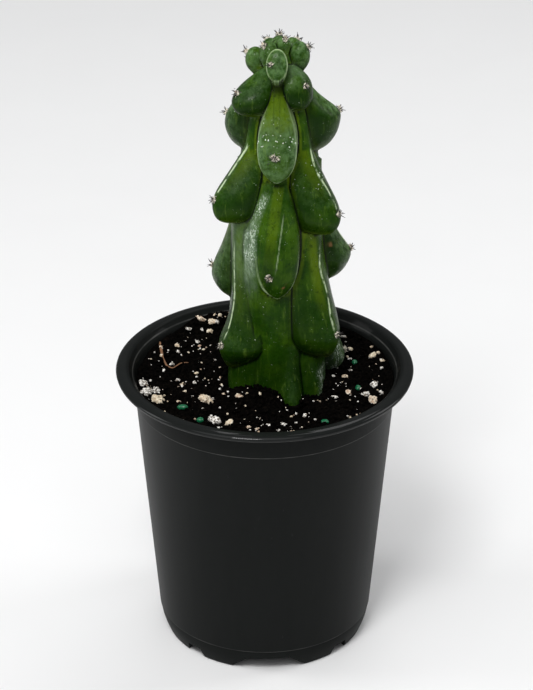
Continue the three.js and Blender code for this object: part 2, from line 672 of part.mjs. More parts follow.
function finish(color, roughness) {
  return new THREE.MeshStandardMaterial({ color, roughness, metalness: 0 });
}

const plant = new THREE.Group();
plant.add(toMesh("pot", makePot(), finish(0x0b0c0d, 0.38)));
plant.add(toMesh("soil", makeSoil(), finish(0x14100d, 0.95)));
plant.add(toMesh("stem", makeStem(), finish(0x2a5a1f, 0.35)));

export default plant;
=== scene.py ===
"""Looks of a potted monstrose myrtle cactus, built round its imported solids.

Shapes are worked out in millimetres and turned into metres when a mesh is made. +Z is up and the front
of the plant faces -Y. Azimuths are degrees from the front, positive to the right (+X).
"""

import math
from collections import namedtuple

import bmesh
import bpy
import numpy as np
from mathutils import Euler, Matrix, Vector


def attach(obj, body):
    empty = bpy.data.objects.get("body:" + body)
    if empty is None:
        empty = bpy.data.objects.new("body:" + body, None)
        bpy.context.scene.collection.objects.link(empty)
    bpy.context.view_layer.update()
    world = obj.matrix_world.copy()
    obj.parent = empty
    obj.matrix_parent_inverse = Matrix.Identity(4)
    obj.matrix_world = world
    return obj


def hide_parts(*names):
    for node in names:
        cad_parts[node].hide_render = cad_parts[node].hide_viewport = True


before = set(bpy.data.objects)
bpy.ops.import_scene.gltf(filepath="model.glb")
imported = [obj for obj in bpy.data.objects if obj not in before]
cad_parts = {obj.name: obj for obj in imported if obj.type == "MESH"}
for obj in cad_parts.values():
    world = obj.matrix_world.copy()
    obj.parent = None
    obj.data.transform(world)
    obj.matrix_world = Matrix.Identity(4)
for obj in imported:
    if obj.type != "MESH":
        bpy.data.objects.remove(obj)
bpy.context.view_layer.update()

MM = 0.001
DEGREE = math.pi / 180
ROOT = "root"

# Camera: where it stands, how far it looks down, and its focal length in pixels of the photograph
IMAGE_WIDTH = 533
IMAGE_HEIGHT = 690
FOCAL_PIXELS = 2663.5
AXIS_PIXEL_X = 264.72
CAMERA_DISTANCE = 1.2
CAMERA_HEIGHT = 0.80084
CAMERA_PITCH = 27.985
CAMERA_NEAR = 0.05
SENSOR = 36

# Floor in millimetres, and light in metres: name, place, size and power of each soft box, a wide soft sun
# and an even glow all round
FLOOR_HALF = 6000
FLOOR_DROP = 0.2
SOFTBOXES = [
    ("key", (-0.30, -0.95, 1.50), (0.45, 0.45), 15),
    ("left", (-1.3, 0.1, 0.85), (0.5, 0.8), 6),
    ("right", (1.2, 0.35, 0.9), (0.5, 0.8), 5.5),
    ("back", (0.2, 0.8, 1.4), (0.8, 0.5), 4),
]
SOFTBOX_TARGET = (0, 0, 0.17)
SUN_POWER = 1.1
SUN_SPREAD = 60
SUN_DIRECTION = (0.2, 0.55, -1)
GLOW_COLOR = (0.92, 0.93, 0.95, 1)
GLOW_STRENGTH = 0.2

# Pot
RIM_RADIUS = 76.2
POT_HEIGHT = 152.5
WALL = 1.25
FOOT_RADIUS = 52.4
FOOT_WIDTH = 2.2
FOOT_STEP_Z = 12.4
FOOT_STEP_RADIUS = 55.95
BAND_Z = 135
BAND_RADIUS = 66.3
BAND_STEP = 0.5
NECK_Z = 148
NECK_RADIUS = 67.85
FLOOR_UNDERSIDE = 8
FLOOR_TOP = 9.4
FLOOR_CORNER = 2
LIP_TOP_RADIUS = 72
LIP_INNER_RADIUS = 69.3
LIP_DEPTH = 3.1
LIP_ROUNDING = 1.9
LIP_INNER_FALL = 1.3
LIP_EDGE_Z = POT_HEIGHT - LIP_DEPTH
POT_SIDES = 240
SHARP_ANGLE = 35

# Notches in the foot (width at the bottom and at the top, height) and drain holes
NOTCH_AZIMUTH = 2
WIDE_NOTCH = (39, 22.6, 7.7)
NARROW_NOTCH = (11.5, 8, 5.5)
NOTCH_RADII = (36, 60)
DRAIN_HOLE = {"radius": 4.5, "low": 6, "high": 12}
DRAIN_CIRCLE_RADIUS = 36

# Soil
SOIL_LEVEL = 143.8
CLEARANCE = 0.3
STEM_CLEARANCE = 0.5
SOIL_SIDES = 420
SOIL_RINGS = 150
BURIED_LEVELS = (118, 130, 138, 142)
MOUTH_RADIUS = 27
SOIL_FOOT = ((53.6, 12.7), (50.6, 9.7))
RELIEF = [
    # height, place x and y, spread in x and y: heap at the back left, shoulder at the right, dip at
    # the left
    (5.2, -26, 58, 22, 13),
    (1.8, 62, 16, 16, 24),
    (-2, -42, -2, 18, 22),
    # dips at the three front feet of the stem, with a heap between them
    (-4, -21, -8, 10, 10),
    (-6, 16, -29, 7, 9),
    (-3, 28, -16, 9, 8),
    (3.5, -2, -20, 9, 8),
]
# height, place and spread of the rise to the back (along y) and of the mound round the stem
BACK_RISE = (2.6, 24, 9)
STEM_MOUND = (1.4, 24, 9)
# height and turn in x and y of two ripples
COARSE_RIPPLE = (0.6, 0.21, 0.17)
FINE_RIPPLE = (0.45, 0.12, 0.33)

# Stem
STEM_X = 7
STEM_Y = 8
STEM_FOOT_Z = 108
STEM_TIP_Z = 327
REACH = 48
RIBS = (-112, -59, 0, 54, 104, 180)
CREST_Z = (108, 120, 143, 165, 200, 236, 262, 290, 306, 318, 324, 327)
CREST = (17, 23, 27, 26.5, 25.5, 23.5, 20.5, 16, 11.5, 7, 4, 0.3)
GROOVE = (14, 20, 24.5, 23.5, 20.5, 17.5, 15, 11.5, 8, 5.5, 3.5, 0.3)
NECK_DEPTH_SHARE = 0.5
CHIN_WIDTH_SHARE = 0.75
TIP_ROUNDING = 4
MEASURE_SCALE = 0.8
RIDGE_POWER = 1.1

# Each tubercle runs down its rib from a neck to its tip and ends in a rounded chin: radius and height of
# each, half width and depth, the neck's share of the width, powers of the section, the crest, the sides
# and the chin, and the blend into the rib. The areole may lie aside of the tip and lower.
Tubercle = namedtuple(
    "Tubercle",
    "azimuth neck_r neck_z tip_r tip_z chin_z chin_r half_width depth neck_share power flare taper"
    " fullness blend aside drop",
    defaults=(0, 0),
)
TUBERCLES = [Tubercle(*row) for row in (
    # front rib: the lower pad, the slope at its left, the upper pad, a narrow foot in the soil
    (-1.5, 22, 258, 33, 227, 199, 26.5, 10.8, 6, 0.4, 1.6, 1.2, 1, 3.2, 0.6, -7.5, 14),
    (-27, 17, 266, 28.4, 224, 168, 22, 10.5, 8, 0.5, 1.5, 0.9, 1, 1.3, 4.5),
    (-2.5, 16.5, 309, 29.5, 279, 261, 24, 9.7, 6, 0.24, 2.2, 1.2, 1.5, 2.9, 0.4, -2, 2.6),
    (13, 24, 170, 36.5, 137, 124, 28, 6.8, 11, 0.9, 1.7, 1.2, 1, 2, 2.6),
    # feet of the two front ribs in the soil
    (-60, 25, 172, 29.5, 142, 122, 24, 15, 12, 0.9, 1.5, 1.2, 1, 2, 1.8),
    (43, 24, 172, 31.5, 142, 122, 24, 10.5, 10, 0.9, 1.5, 1.2, 1, 2, 1.2),
    # left front rib
    (-52, 9, 314, 28, 301, 291, 15, 9.8, 11, 0.3, 1.7, 0.8, 1.3, 2.6, 0.5, -4, -3),
    (-59, 14, 285, 38, 250, 234.5, 23, 11, 14, 0.3, 1.5, 1.3, 1.3, 3.5, 0.5),
    (-60, 25.5, 240, 34.4, 167.5, 153.5, 27, 15.6, 13, 0.75, 1.5, 7, 1, 1.5, 0.9),
    # left back rib
    (-112, 12, 306, 28.5, 284, 266, 17, 10.5, 9, 0.35, 1.8, 0.9, 1, 2.4, 0.5),
    (-112, 22, 262, 37, 198.5, 182, 25, 12, 10, 0.4, 1.5, 2.2, 1.3, 1.8, 0.8),
    (-114, 24, 180, 30.5, 152, 140, 26, 12, 9, 0.5, 1.6, 2.5, 1.2, 1.8, 1.2),
    # right front rib
    (42, 8, 315.5, 21.3, 303.5, 293.5, 12, 9.6, 9, 0.35, 1.7, 0.42, 1.1, 2.6, 0.5, 0, -4.5),
    (54, 15, 287, 37, 243, 229, 24, 12, 13, 0.4, 1.5, 1.5, 1.2, 2.6, 0.5),
    (54, 24, 236, 37, 176, 161, 28, 15, 13, 0.7, 1.5, 2, 1, 1.8, 0.9),
    # right back rib
    (103, 14, 306, 31.3, 287, 266, 17, 11.5, 10, 0.35, 1.7, 1.5, 0.9, 2.2, 0.5),
    (104, 22, 262, 38.3, 210, 194, 25, 12, 10, 0.4, 1.5, 2.6, 1.4, 1.6, 0.8),
    (101, 24, 190, 35.5, 153, 140, 26, 11, 9, 0.4, 1.6, 1.6, 1.2, 1.8, 1.2),
    # back rib
    (180, 9, 312, 25, 298, 281, 15, 10.5, 9, 0.35, 1.8, 0.6, 0.9, 2.6, 0.5),
    (179, 17, 290, 37, 236, 220, 24, 14.5, 13, 0.4, 1.5, 1.4, 1, 3, 0.6),
    (180, 24, 228, 35, 170, 156, 27, 16, 13, 0.6, 1.5, 4, 1, 2.4, 1.2),
)]
LOWER_PAD, SLOPE, UPPER_PAD, FRONT_FOOT, LEFT_FOOT, RIGHT_FOOT = range(6)
LEFT_TOP, LEFT_MIDDLE, LEFT_LOW = 6, 7, 8
RIGHT_TOP, RIGHT_MIDDLE, RIGHT_BACK_LOW = 12, 13, 17
PLAIN = (SLOPE, FRONT_FOOT, LEFT_FOOT, RIGHT_FOOT)

# Young tubercles crowded on the crown: where the middle is, half sizes, and how many degrees the areole
# looks up and aside. The first is the pad in front.
Knob = namedtuple("Knob", "azimuth radius height half_width half_height half_depth rise aside")
KNOBS = [Knob(*row) for row in (
    (-4, 15.6, 318.8, 5.3, 8.3, 3.4, 2, -28),
    (-98, 11.6, 315.5, 5, 6.4, 5, 35, 0),
    (-46, 6.8, 320.8, 4.8, 6.6, 5, 50, 0),
    (28, 4.2, 325, 3.5, 4, 3.6, 60, 0),
    (84, 9.8, 318.4, 5.2, 7.4, 5.3, 40, 0),
    (140, 10, 318, 4.8, 6.4, 4.8, 40, 0),
    (-155, 9.5, 317.5, 5, 6.2, 5, 40, 0),
    (180, 3.2, 323.6, 3.6, 3.6, 3.6, 70, 0),
)]
KNOB_BLEND = 0.4

# The pad in front: how flat its face is, and how far it looks up
PAD_POWER = 3.5
PAD_TILT = 28

# Rays that find the stem's skin: share of the way up, origin height on the axis, tilt above the level,
# shortest and longest stride inwards, where they give up, and halvings at the end
RAY_ORIGINS = ((0, 0.07, 0.72, 1), (118, 122, 292, 306))
RAY_TILTS = ((0, 0.07, 0.18, 0.64, 0.78, 1), (-90, -45, -14, -8, 35, 90))
RAY_STRIDES = (0.7, 3)
RAY_END = 0.2
RAY_HALVINGS = 11
SKIN_LENGTH = 260
STEM_SIDES = 366
STEM_ROWS = 268

# Marks on the skin. Four numbers say where a mark begins, is full, fades and ends: heights and lengths in
# millimetres, azimuths in degrees, or shares of the way from neck to tip. Two folds lie aside on the neck
NECK_FOLDS = (-1.8, 1.2)
# where the pads' pale rims lie; these rims are partly painted highlight
RIM_LINE = (0.93, 0.97, 1.01, 1.05)
KEEL_HEIGHTS = (214, 222, 240, 246)
KEEL_LEAN = 0.13
KEEL_Z = 222
STRIPE_BESIDE_KEEL = (-7.5, -6, -2.2, -1)
# lobes whose neck lies below this height carry a ridge line of painted highlight
RIDGED_BELOW = 300
RIDGE_SHARES = (0.2, 0.35, 0.9, 0.98)
STRIP_WIDTH = (0.5, 2.5, 4, 8)
STRIP_SHARES = (0, 0.2, 0.6, 0.9)
# heights of the painted shade over the upper pad
SHADE_OVER_PAD = (302, 307, 314, 316)
# heights of the glossy band of painted highlight and of the frost on the pad, and azimuths of the frost and
# painted glints at the right foot
GLOSS_HEIGHTS = (196, 214, 248, 256)
PAD_FROST_HEIGHTS = (274, 281, 290, 295)
FOOT_FROST_AZIMUTHS = (40, 52, 62, 72)
DOT_AZIMUTHS = (20, 60)
DOT_HEIGHTS = (254, 258, 267, 270)
SCARS = [(4.7, 207.3, 0.3), (6.5, 209.2, 0.2), (78, 219, 1.1)]

# Areoles sit a little into the skin and look slightly up. Felt, wool and spines on each
AREOLE_SEED = 17
AREOLE_SEAT = 0.4
AREOLE_RISE = 0.25
WIDE_AREOLE = 1.5
SMALL_AREOLE = 0.7
FELT_SPREAD = 0.95
FELT_FIBRES = 60
TUFTS = 5
TUFT_RING = (0.5, 1.2)
TUFT_SPREAD = 0.26
TUFT_FIBRES = 26
TUFT_RISE = 0.9
FIBRE_WIDTH = 0.4
FIBRE_LENGTHS = (0.6, 1.3)
FIBRE_SEAT = 0.3
FIBRE_SCATTER = 0.6
FIBRE_BEND = 0.5
SPINES = 6
SPINE_LENGTHS = (2.4, 4.0)
SPINE_WIDTH = 0.8
SPINE_LEAN = (0.5, 1.4)
SPINE_START = 0.5

# Larger pieces in the top of the soil: x, y, length, width
PERLITE = [
    (-62, -6, 6, 4.6), (-60.5, -14.5, 7, 5.4), (-55.5, -13, 6, 5), (-25.5, -45, 6, 4.6), (-40, 47, 3, 2.4),
    (-33, 46, 3.4, 1.8), (-25.5, 50, 3.2, 3), (-35, 35, 2.8, 2.4), (-45, 26, 2.4, 2), (-48, 15.5, 2.8, 2.4),
    (-36, -2, 3, 2), (-45, 0.5, 2.6, 2.2), (41.5, 41, 4, 2.2), (56, -8, 6, 3.6), (51, -19, 4.2, 3.2),
    (59, -16.5, 3.2, 2.6), (20.5, -33, 3.2, 2.8), (9.5, -47.5, 3.2, 2.8), (44, 6, 3, 1.6),
    (36, -17, 3.6, 2.2), (-26.5, -19.5, 3, 2.4), (-52, 9, 2.2, 2),
]
BARK = [
    (-34, 53, 7, 3.4), (-28, 50, 5.4, 4.2), (-24, 56, 3.4, 3), (-29, 44, 4.4, 3.4), (-46, 33, 2.8, 2.6),
    (-54, -22, 8, 6.6), (-30, -22.5, 8, 6.4), (-17.5, -48, 5.4, 4), (-13, -21, 5, 2.4), (-21, -11, 4, 2),
    (-35, 8, 2.8, 2.2), (-42.5, -3, 3.4, 1.8), (-3.5, -53, 4, 1.8), (-8, -52, 2.4, 2.2), (56, 19, 5.2, 3.6),
    (59, 22, 3.4, 2.4), (61, 15, 3.2, 2.6), (44.5, 27, 3, 2.6), (55, -23.5, 5.6, 5.4), (43, -16, 4.2, 2.8),
    (41.5, 1, 3.2, 3), (43, -41, 3.8, 1.6), (-43.5, -24, 2.4, 2.2),
]
PRILLS = [
    (-41.5, -29.5, 6, 3.8), (-32, -44.5, 4.2, 3.6), (30, -46.5, 4.2, 3.4), (46.5, 14, 3.6, 3),
    (47.5, -12.5, 3.6, 3),
]
TWIG = [(-55, 34.5), (-53.5, 23), (-51, 14), (-47.5, 11.5), (-43.5, 15.5), (-39.5, 15.5)]
TWIG_WIDTH = 1.1

# Scattered grains: how far out they lie, clear of the wall and the stem, and how flat they are
GRAIN_SEED = 5
GRAIN_REACH = 63.5
STEM_CLEAR = 28
GRAIN_FLATNESS = 0.85


# Meshes


def make_object(name, points, triangles, material, smooth=True):
    """A mesh object from points in millimetres and rows of three corners."""
    mesh = bpy.data.meshes.new(name)
    mesh.vertices.add(len(points))
    mesh.vertices.foreach_set("co", (np.asarray(points) * MM).astype(np.float32).ravel())
    corners = np.asarray(triangles, np.int32)
    mesh.loops.add(corners.size)
    mesh.loops.foreach_set("vertex_index", corners.ravel())
    mesh.polygons.add(len(corners))
    mesh.polygons.foreach_set("loop_start", np.arange(0, corners.size, 3, dtype=np.int32))
    mesh.polygons.foreach_set("use_smooth", np.full(len(corners), smooth))
    mesh.update(calc_edges=True)
    mesh.materials.append(material)
    obj = bpy.data.objects.new(name, mesh)
    bpy.context.scene.collection.objects.link(obj)
    return obj


def add_piece(name, points, triangles, material, slot, replaces=None, smooth=True):
    """A piece of the object that rides on its one body."""
    obj = make_object(name, points, triangles, material, smooth)
    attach(obj, ROOT)
    if replaces:
        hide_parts(replaces)
    return obj


def set_values(obj, name, values):
    """A number for each vertex, for the material to read."""
    attribute = obj.data.attributes.new(name, "FLOAT", "POINT")
    attribute.data.foreach_set("value", np.asarray(values, np.float32))


def joined(parts):
    """One list of points and one of triangles from several."""
    points, triangles, start = [], [], 0
    for part_points, part_triangles in parts:
        points.append(part_points)
        triangles.append(part_triangles + start)
        start += len(part_points)
    return np.concatenate(points), np.concatenate(triangles)


def closed_grid(grid, low_pole, high_pole):
    """Points and triangles of a grid of rings (rows, columns, 3) that is closed by a point at each end."""
    rows, columns = grid.shape[:2]
    row, column = np.meshgrid(np.arange(rows - 1), np.arange(columns), indexing="ij")
    following = (column + 1) % columns
    a, b = row * columns + column, row * columns + following
    c, d = (row + 1) * columns + following, (row + 1) * columns + column
    sides = np.concatenate([np.stack([a, b, c], -1).reshape(-1, 3), np.stack([a, c, d], -1).reshape(-1, 3)])
    ring = np.arange(columns)
    after = (ring + 1) % columns
    low, high = rows * columns, rows * columns + 1
    top = (rows - 1) * columns
    low_fan = np.stack([np.full(columns, low), after, ring], -1)
    high_fan = np.stack([np.full(columns, high), top + ring, top + after], -1)
    points = np.concatenate([grid.reshape(-1, 3), [low_pole], [high_pole]])
    return points, np.concatenate([sides, low_fan, high_fan])


def icosphere(level):
    """Points of radius 1 and triangles of a ball."""
    ball = bmesh.new()
    bmesh.ops.create_icosphere(ball, subdivisions=level, radius=1)
    points = np.array([v.co[:] for v in ball.verts])
    triangles = np.array([[v.index for v in f.verts] for f in ball.faces])
    ball.free()
    return points, triangles


def wave_noise(points, size, seed, waves=14):
    """Smooth noise of about -1 to 1 whose features are about `size` millimetres across."""
    random = np.random.default_rng(seed)
    directions = random.normal(size=(waves, points.shape[-1]))
    directions /= np.linalg.norm(directions, axis=1, keepdims=True)
    directions *= (math.pi / size) * random.uniform(0.7, 1.4, (waves, 1))
    phases = random.uniform(0, 2 * math.pi, waves)
    return np.sin(points @ directions.T + phases).sum(-1) / math.sqrt(waves)


def full_turn(count):
    """Evenly spaced angles round a full turn."""
    return np.arange(count) / count * 2 * math.pi


def facing(azimuth):
    """Directions outward and to the right at an azimuth."""
    turn = azimuth * DEGREE
    return np.array([math.sin(turn), -math.cos(turn), 0]), np.array([math.cos(turn), math.sin(turn), 0])


def turned(x, y, azimuth):
    """How far outward and to the right of the axis points lie, seen from an azimuth."""
    turn = azimuth * DEGREE
    return x * math.sin(turn) - y * math.cos(turn), x * math.cos(turn) + y * math.sin(turn)


def eased(value, low, high):
    """0 at the low end and 1 at the high end, eased between them. The high end may be the smaller number."""
    share = np.clip((value - low) / (high - low), 0, 1)
    return share * share * (3 - 2 * share)


def window(value, begin, full, fade, end):
    """Eased from 0 at the beginning to 1, and back to 0 from the fade to the end."""
    return eased(value, begin, full) * eased(value, end, fade)


# Materials


class Surface:
    """A procedural material, with one short call for each kind of node that it uses."""

    def __init__(self, name, roughness=0.5, **sockets):
        self.material = bpy.data.materials.new(name)
        self.material.use_nodes = True
        self.tree = self.material.node_tree
        self.shader = self.tree.nodes["Principled BSDF"]
        for socket, value in {"Roughness": roughness, **sockets}.items():
            self.put(value, self.shader.inputs[socket.replace("_", " ")])
        inputs = {0: self.node("TexCoord", "Object"), "Scale": 1 / MM}
        self.place = self.node("VectorMath", "Vector", inputs, operation="SCALE")

    def put(self, value, socket):
        """Link a socket to the output of a node, or set it to a number, a vector or a colour."""
        if isinstance(value, bpy.types.NodeSocket):
            self.tree.links.new(value, socket)
        elif value is not None:
            socket.default_value = (*value, 1) if socket.type == "RGBA" else value

    def node(self, kind, output, inputs=(), **settings):
        """Add a node and give one of its outputs."""
        node = self.tree.nodes.new("ShaderNode" + kind)
        for name, value in settings.items():
            setattr(node, name, value)
        for socket, value in dict(inputs).items():
            self.put(value, node.inputs[socket])
        return node.outputs[output]

    def stretched(self, x, y, z):
        """The place in millimetres, scaled along each axis."""
        return self.node("VectorMath", "Vector", {0: self.place, 1: (x, y, z)}, operation="MULTIPLY")

    def math(self, operation, a, b=None):
        return self.node("Math", 0, {0: a, 1: b}, operation=operation)

    def times(self, a, b):
        return self.math("MULTIPLY", a, b)

    def noise(self, size, detail=2, roughness=0.5, place=None, distortion=0):
        """Noise from 0 to 1 with features of about `size` millimetres."""
        inputs = {"Vector": place or self.place, "Scale": 1 / size, "Detail": detail,
                  "Roughness": roughness, "Distortion": distortion}
        return self.node("TexNoise", "Fac", inputs)

    def value(self, name):
        """The number that the mesh holds at each point under a name."""
        return self.node("Attribute", "Fac", attribute_name=name)

    def step(self, value, low, high, out_low=0.0, out_high=1.0):
        """The value, eased from one level to another between two limits."""
        inputs = {"Value": value, "From Min": low, "From Max": high, "To Min": out_low, "To Max": out_high}
        return self.node("MapRange", "Result", inputs, interpolation_type="SMOOTHSTEP")

    def mix(self, share, a, b):
        """Two colours, mixed."""
        return self.node("Mix", "Result", {"Factor": share, "A": a, "B": b}, data_type="RGBA")

    def bump(self, height, depth, after=None):
        """A bump from a height of 0 to 1, `depth` millimetres deep, on top of an earlier one."""
        return self.node("Bump", "Normal", {"Distance": depth * MM, "Height": height, "Normal": after})

    def finish(self, color, roughness=None, normal=None):
        for value, socket in ((color, "Base Color"), (roughness, "Roughness"), (normal, "Normal")):
            self.put(value, self.shader.inputs[socket])
        return self.material


def skin_material():
    """Waxy green skin: deep green, yellow-green in the grooves, dark creases of painted shade, pale rims that
    are partly painted highlight, ridges of painted highlight, and bloom that is partly painted light.
    """
    skin = Surface("cactus_skin", IOR=1.45, Specular_IOR_Level=0.06, Coat_Weight=0.06, Coat_Roughness=0.08,
                   Coat_IOR=1.45, Subsurface_Weight=0.08, Subsurface_Scale=0.0015,
                   Subsurface_Radius=(0.5, 1.0, 0.2))
    deep, fresh = (0.011, 0.042, 0.0008), (0.032, 0.081, 0.0022)
    yellow, dark = (0.092, 0.150, 0.0030), (0.0045, 0.0200, 0.0006)
    lines = skin.noise(2.2, 5, 0.7, skin.stretched(1, 1, 0.09), distortion=0.4)
    painted_glints = skin.step(skin.noise(0.7, 4, 0.7, skin.stretched(1, 1, 0.5), distortion=0.6), 0.50, 0.62)
    dots = skin.step(skin.noise(1.3, 1, 0.5), 0.66, 0.70)
    specks = skin.step(skin.noise(0.8, 2, 0.6), 0.70, 0.76)
    specks = skin.times(specks, skin.step(skin.noise(7, 2), 0.44, 0.56))
    # the layers from the lowest up: where the mesh says, how strongly, and in which colour
    layers = [
        ("groove", 0.75, yellow),
        ("strip", 0.7, yellow),
        ("nose", 0.8, dark),
        # painted shade: the lower stem darkened towards the soil
        ("base", 0.75, dark),
        ("lip", 0.5, yellow),
        # bloom: wax in patches; where it is raised on the back and the back left it is painted light
        ("bloom_and_painted_light", skin.step(skin.noise(3.2, 6, 0.7), 0.34, 0.66), (0.110, 0.205, 0.074)),
        (None, skin.step(skin.noise(3.0, 5, 0.68), 0.53, 0.68, 0, 0.6), dark),
        (None, skin.step(lines, 0.54, 0.74, 0, 0.25), (0.200, 0.330, 0.045)),
        (None, skin.step(lines, 0.30, 0.44, 0.45, 0), dark),
        # pale rims of the pads: partly a pale margin of the skin, partly painted highlight on the rounded
        # edge
        ("edge", skin.step(skin.noise(3.5, 4), 0.32, 0.6, 0.45, 1), (0.360, 0.480, 0.250)),
        # painted highlight: pale lines along the crests of the lobes and along the keel of the lower pad
        ("ridge_highlight", skin.step(skin.noise(4.5, 3), 0.36, 0.52), (0.50, 0.62, 0.38)),
        # painted shade: creases, folds and the hollow under the small pad, darkened nearly to black
        (None, skin.value("crease_shade"), (0.0008, 0.0040, 0.0004)),
        # frost, with painted highlight where it fills the glossy band
        ("frost_and_sheen", skin.step(skin.noise(4.5, 5, 0.65), 0.3, 0.75, 0.15, 0.9), (0.20, 0.29, 0.18)),
        # painted highlight: glint streaks in the glossy band and at the right foot
        ("painted_glints", skin.times(painted_glints, skin.step(skin.noise(5.5, 2), 0.38, 0.54)), (0.62, 0.72, 0.60)),
        ("dots", skin.times(dots, skin.step(skin.noise(6), 0.44, 0.54)), (0.80, 0.88, 0.76)),
        (None, skin.times(specks, 0.85), (0.60, 0.72, 0.52)),
        ("scar", 0.9, (0.27, 0.14, 0.06)),
    ]
    color = skin.mix(skin.step(skin.noise(11, 4, 0.6), 0.38, 0.64), deep, fresh)
    for name, share, tint in layers:
        if name:
            share = skin.times(skin.value(name), share)
        color = skin.mix(share, color, tint)
    normal = skin.bump(skin.noise(6, 2), 0.6)
    normal = skin.bump(lines, 0.2, normal)
    normal = skin.bump(skin.noise(0.9, 4, 0.65), 0.16, normal)
    return skin.finish(color, skin.step(skin.noise(4, 4), 0.3, 0.7, 0.24, 0.44), normal)


def wool_material():
    """Cream wool in tufts, over short felt that is nearly black."""
    wool = Surface("wool", roughness=0.9, Sheen_Weight=0.2)
    cream = wool.mix(wool.noise(0.8, 2), (0.84, 0.76, 0.58), (0.95, 0.92, 0.82))
    return wool.finish(wool.mix(wool.value("felt"), cream, (0.007, 0.005, 0.004)))


def spine_material():
    """Spines, brown to nearly black, a few of them paler, with dark tips."""
    spine = Surface("spine", roughness=0.45)
    tint = spine.step(spine.value("tint"), 0.12, 0.16)
    base = spine.mix(tint, (0.62, 0.46, 0.36), (0.012, 0.007, 0.005))
    return spine.finish(spine.mix(spine.step(spine.value("along"), 0.4, 0.8), base, (0.006, 0.004, 0.004)))


def peat_material():
    peat = Surface("peat", roughness=0.95, Specular_IOR_Level=0.02)
    share = peat.step(peat.noise(1.6, 5, 0.7), 0.45, 0.75)
    color = peat.mix(share, (0.0008, 0.0007, 0.0006), (0.0065, 0.0048, 0.0036))
    return peat.finish(color, None, peat.bump(peat.noise(0.7, 4, 0.65), 0.5))


def perlite_material():
    perlite = Surface("perlite", roughness=0.85)
    pits = perlite.step(perlite.noise(0.9, 3, 0.6), 0.36, 0.54)
    color = perlite.mix(pits, (0.22, 0.17, 0.12), (0.90, 0.87, 0.81))
    color = perlite.mix(perlite.step(perlite.noise(1.5, 4, 0.7), 0.55, 0.62), color, (0.10, 0.065, 0.04))
    return perlite.finish(color, None, perlite.bump(pits, 0.4))


def bark_material():
    """Bark and pumice, from tan to pinkish brown, a tint for each piece."""
    bark = Surface("bark", roughness=0.85)
    color = bark.mix(bark.value("tint"), (0.66, 0.55, 0.38), (0.42, 0.27, 0.19))
    grain = bark.noise(1.1, 4, 0.7, bark.stretched(1, 1, 0.35))
    color = bark.mix(bark.step(grain, 0.42, 0.66), color, (0.84, 0.77, 0.62))
    color = bark.mix(bark.step(bark.noise(1.2, 4, 0.7), 0.57, 0.66), color, (0.035, 0.018, 0.010))
    return bark.finish(color, None, bark.bump(grain, 0.45))


def prill_material():
    prill = Surface("prill", roughness=0.35)
    color = prill.mix(prill.noise(1.4, 2), (0.001, 0.070, 0.026), (0.006, 0.16, 0.062))
    return prill.finish(color, None, prill.bump(prill.noise(0.8, 2), 0.08))


def twig_material():
    twig = Surface("twig", roughness=0.8)
    color = twig.mix(twig.noise(1.5, 4), (0.10, 0.045, 0.02), (0.30, 0.15, 0.07))
    return twig.finish(color, None, twig.bump(twig.noise(0.6, 3), 0.15))


def pot_material():
    """Moulded black plastic: matt wall, glossy lip, painted highlight lines on its edges, painted bounce
    light under the floor, faint scuffs.
    """
    pot = Surface("pot_plastic", Specular_IOR_Level=0.02, Coat_Roughness=0.07)
    flow = pot.noise(9, 3, 0.6, pot.stretched(1, 1, 0.12))
    scuff = pot.step(pot.noise(2.2, 6, 0.75, pot.stretched(1, 1, 0.4)), 0.62, 0.72)
    color = pot.mix(flow, (0.0070, 0.0080, 0.0076), (0.0100, 0.0112, 0.0106))
    color = pot.mix(pot.times(scuff, 0.3), color, (0.035, 0.035, 0.036))
    height = pot.node("SeparateXYZ", "Z", {0: pot.place})
    radius = pot.node("VectorMath", "Value", {0: pot.stretched(1, 1, 0)}, operation="LENGTH")
    # painted highlight: light lines along the band, the foot step and the lip edge, broken up by noise
    highlight_breakup = pot.step(pot.noise(14, 3), 0.3, 0.7, 0.35, 1)
    outside = pot.step(radius, FOOT_RADIUS - 1, FOOT_RADIUS)
    edges = ((BAND_Z, 0.45, 0.75), (FOOT_STEP_Z, 0.4, 0.6), (LIP_EDGE_Z, 0.4, 0.5))
    for edge_z, half_width, strength in edges:
        away = pot.math("ABSOLUTE", pot.math("SUBTRACT", height, edge_z))
        line = pot.times(pot.step(away, 0.4 * half_width, half_width, 1, 0), outside)
        line = pot.times(pot.times(line, highlight_breakup), strength)
        color = pot.mix(line, color, (0.11, 0.11, 0.105))
    # painted light: the floor's underside and the foot inside the ring lightened as if lit by light bounced
    # off the floor
    painted_bounce = pot.step(height, FLOOR_UNDERSIDE - 0.4, FLOOR_UNDERSIDE + 0.4, 1, 0)
    painted_bounce = pot.times(painted_bounce, pot.step(radius, FOOT_RADIUS - 1.8, FOOT_RADIUS - 1, 1, 0))
    color = pot.mix(painted_bounce, color, (0.10, 0.10, 0.10))
    lip = pot.times(pot.step(height, NECK_Z + 0.5, NECK_Z + 1.5),
                        pot.step(radius, LIP_INNER_RADIUS + 1, LIP_TOP_RADIUS))
    pot.put(pot.step(lip, 0, 1, 0.05, 0.32), pot.shader.inputs["Coat Weight"])
    normal = pot.bump(pot.noise(0.35, 2), 0.012, pot.bump(flow, 0.05))
    return pot.finish(color, pot.step(scuff, 0, 1, 0.45, 0.55), normal)


def floor_material():
    floor = Surface("floor", roughness=0.6)
    return floor.finish(floor.mix(floor.noise(60, 2), (0.83, 0.83, 0.83), (0.85, 0.85, 0.85)))


# Stem


def blend(a, b, radius):
    """The smaller of two measures, rounded where they meet."""
    share = np.clip(0.5 + 0.5 * (b - a) / radius, 0, 1)
    return b * (1 - share) + a * share - radius * share * (1 - share)


